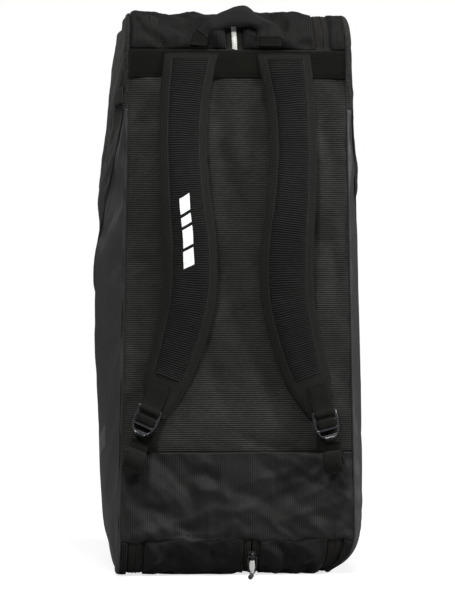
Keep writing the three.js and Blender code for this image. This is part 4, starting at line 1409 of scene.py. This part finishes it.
def build_grab_handle():
    """A padded band that arches up from its two feet; it is fullest at the grip, and creased at the right."""
    foot, back_off, lean = 720.5 * MM, 3 * MM, math.radians(9)
    outer = resample(spline([(x, 0, z) for x, z in GRAB_OUTER], 6), 60)
    inner = resample(spline([(x, 0, z) for x, z in GRAB_INNER], 6), 60)
    rings = []
    for k, (o, i) in enumerate(zip(outer, inner)):
        t = k / 59
        grip = smooth((t - 0.12) / 0.14) * smooth((0.86 - t) / 0.14)
        front, back = [], []
        for s in np.linspace(0, 1, 13):
            point = o.lerp(i, s)
            round_edge = (1 - abs(2 * s - 1) ** 4)
            crease = 0.7 * math.sin(point.x * 0.55 + 4 * s) * (1 - grip) * (t > 0.5)
            thick = lerp(2.6, 8.4, grip) * (0.35 + 0.65 * round_edge) + crease
            front.append((point.x, 0.3 + thick, point.z))
            back.append((point.x, 0.3 + 1.0 * (1 - round_edge) * grip, point.z))
        ring = []
        for x, off, z in front + list(reversed(back)):
            y = -off * math.cos(lean) + z * math.sin(lean)
            height = off * math.sin(lean) + z * math.cos(lean)
            ring.append(Vector((x * MM, BACK_Y - back_off + y * MM, foot + height * MM)))
        rings.append(ring)
    handle = lofted("grab_handle_wrap", rings, "wrap", "grab_handle", ["grab_handle"], 0.6 * MM, 2.0)
    soften(handle)
    # the webbing ends that the wrap is sewn round
    for name, x, width, height in (("left", -53.5, 21, 14), ("right", 44, 32, 11)):
        path = [Vector((x * MM + t * t * 6 * MM * (x < 0), BACK_Y - back_off - lerp(4.6, 7.0, t) * MM,
                        foot + lerp(-1, height, t) * MM)) for t in np.linspace(0, 1, 8)]
        ribbon(f"handle_foot_{name}", path, ACROSS, width * MM, 1.8 * MM, "webbing", "grab_handle")


def build_carry_handles():
    for name, side in SIDES:
        x = side * 86 * MM
        path = [Vector((x, FRONT_Y + 1.4 * MM + 0.3 * MM * math.sin(k), lerp(0.250, 0.530, k / 30)))
                for k in range(31)]
        ribbon(f"carry_strip_{name}", path, ACROSS, 30 * MM, 1.8 * MM, "webbing", "root",
               [f"carry_webbing_{name}"])
        rings = []
        for t in np.linspace(0, 1, 50):
            z = lerp(300, 480, t) * MM
            proud = lerp(8, 28, math.sin(math.pi * t) ** 0.6) * MM
            full = smooth((t - 0.14) / 0.05) * smooth((0.86 - t) / 0.05)
            ring = []
            for a, o in band_outline(lerp(30, 33, full) * MM, lerp(2.2, 6.4, full) * MM):
                ring.append(Vector((x + a, FRONT_Y + proud + 2.2 * MM + o, z)))
            rings.append(ring)
        grip = lofted(f"carry_grip_{name}", rings, "binding", f"carry_handle_{name}",
                      [f"carry_handle_{name}"], 0.4 * MM, side)
        soften(grip)


def build_band():
    """The webbing band across the top of the harness face, with its two rows of stitching."""
    half = half_width(BAND_HIGH) - 3 * MM
    middle = (BAND_LOW + BAND_HIGH) / 2
    path = [Vector((x, BACK_Y - 2.3 * MM - 0.5 * MM * math.sin(x * 90), middle + 0.8 * MM * math.sin(x * 55)))
            for x in np.linspace(-half, half, 60)]
    ribbon("webbing_band", path, UP, BAND_HIGH - BAND_LOW, 1.9 * MM, "band", "root", ["top_webbing_band"])
    for number, z in enumerate((BAND_LOW + 2.5 * MM, BAND_HIGH - 3 * MM)):
        stitches(f"band_stitch_{number}", [Vector((p.x, p.y - 1.1 * MM, z)) for p in path], "root")


def build_trims():
    """Piping down the seams beside the harness face and on the slanting side seams, and seam stitching."""
    for name, side in SIDES:
        path = []
        for z in np.linspace(BOTTOM_RADIUS, TOP_Z, 90):
            path.append(slumped((side * (face_edge(side, z) + 0.2 * MM), BACK_Y + 0.3 * MM, z)))
        tube(f"edge_piping_{name}", path, 1.2 * MM, "piping", f"lid_{name}")
        path = []
        for share in np.linspace(0.0, 1.0, 60):
            z = piped_seam(share)
            y = lerp(BACK_Y + CORNER, FRONT_Y - CORNER, share)
            path.append(Vector((side * (sagged_x(side, y, z) + 0.5 * MM), y, z)))
        tube(f"slant_piping_{name}", path, 1.7 * MM, "piping", f"lid_{name}")
    half = face_edge(-1, SEAM_Z) - 2 * MM
    line = [Vector((x, BACK_Y - 0.2 * MM, SEAM_Z + 2.6 * MM)) for x in np.linspace(-half, half, 80)]
    stitches("face_stitch", line, "root")
    # bound seam allowances behind the harness face's sewn edges
    for name, z in (("low", BOTTOM_RADIUS), ("middle", SEAM_Z), ("high", TOP_Z)):
        half = half_width(z) - 7 * MM
        line = [slumped((x, BACK_Y + 5.2 * MM, z)) for x in np.linspace(-half, half, 40)]
        ribbon(f"seam_binding_{name}_back", line, UP, 14 * MM, 1.2 * MM, "binding", "root")
    # double stitching down the fold of the top corner's cover
    for number, shift in enumerate((0.0, 3.0)):
        line, outs = [], []
        for t in np.linspace(0, 1, 40):
            x, z = lerp(-143, -102, t) + shift, lerp(765, 719, t) + shift
            lean = math.asin(min(max((z * MM - TOP_Z) / TOP_RADIUS, 0), 1))
            out = Vector((0, -math.cos(lean), math.sin(lean)))
            line.append(Vector((x * MM, BACK_Y + TOP_RADIUS, TOP_Z)) + out * (TOP_RADIUS + 2.2 * MM))
            outs.append(out)
        stitches(f"corner_stitch_{number}", line, "root", "pale_thread", outs)
    build_side_loop()


def build_hinges():
    """The cloth that joins each lid to the harness face behind the piping."""
    low, high = BOTTOM_RADIUS + 2 * MM, TOP_Z - 2 * MM
    for name, side in SIDES:
        width = FACE_EDGE[side] + 6.8 * MM
        path = [slumped((side * (half_width(z) - 1.2 * MM - width / 2), BACK_Y + 4.8 * MM, z))
                for z in np.linspace(low, high, 70)]
        cloth = ribbon(f"hinge_cloth_{name}", path, ACROSS, width, 1.1 * MM, "binding", None)
        start = Vector((side * (face_edge(side, low) - 1 * MM), BACK_Y, low))
        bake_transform(cloth)


def build_side_loop():
    low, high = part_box("side_loop")
    z = (low.z + high.z) / 2
    points = [Vector((-sagged_x(-1, y, z) - lift * MM, y, z)) for y, lift in
              zip(np.linspace(low.y, high.y, 9), (1.0, 1.2, 3.2, 4.6, 5.0, 4.6, 3.2, 1.2, 1.0))]
    ribbon("side_webbing_loop", spline(points, 4), UP, high.z - low.z, 1.7 * MM, "webbing", "lid_left",
           ["side_loop"])


def build_dividers():
    """The two inner walls, a little slack between the panels they are sewn to."""
    inset = 5.8 * MM
    for name, side in SIDES:
        def place(u, v):
            z = lerp(inset, HEIGHT - inset, v)
            low_drop, high_drop = max(BOTTOM_RADIUS - z, 0), max(z - TOP_Z, 0)
            radius = (BOTTOM_RADIUS if low_drop else TOP_RADIUS) - inset
            drop = min(max(low_drop, high_drop), radius)
            reach = radius - math.sqrt(radius ** 2 - drop ** 2)
            y = lerp(BACK_Y + inset + reach, FRONT_Y - inset - reach, u)
            slack = 2.4 * MM * math.sin(math.pi * u) * math.sin(math.pi * v)
            return side * DIVIDER_X + slack * noise.noise(Vector((y, side, z)) / 0.07) * 2, y, z
        wall = piece(f"inner_wall_{name}", *lattice(36, 84, place), "lining", closed=False)
        modify(wall, "SOLIDIFY", thickness=2 * MM, offset=0)
        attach(wall, "root")
        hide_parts(f"divider_{name}")


def side_mark():
    """A plain slanted patch printed on the left side panel, near the harness face."""
    def place(u, v):
        y = BACK_Y + lerp(72, 138, u) * MM
        z = (lerp(-15, 15, v) + lerp(190, 164, u)) * MM
        return -sagged_x(-1, y, z) - 8.4 * MM, y, z
    mark = piece("side_mark", *lattice(14, 16, place), "grey_print", closed=False)
    panel = bpy.data.objects["side_lower_left"]
    modify(mark, "SHRINKWRAP", target=panel, wrap_method="PROJECT", use_project_x=True, use_project_y=False,
           use_project_z=False, use_positive_direction=True, use_negative_direction=True, offset=0.35 * MM)
    bpy.context.view_layer.update()
    settled = mark.evaluated_get(bpy.context.evaluated_depsgraph_get())
    shaped = bpy.data.meshes.new_from_object(settled)
    mark.modifiers.clear()
    mark.data = shaped
    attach(mark, "lid_left")


make_stage()
make_camera()
build_shell()
build_zips()
build_sliders()
build_straps()
build_grab_handle()
build_carry_handles()
build_band()
build_trims()
build_hinges()
build_dividers()
side_mark()

bpy.context.view_layer.update()
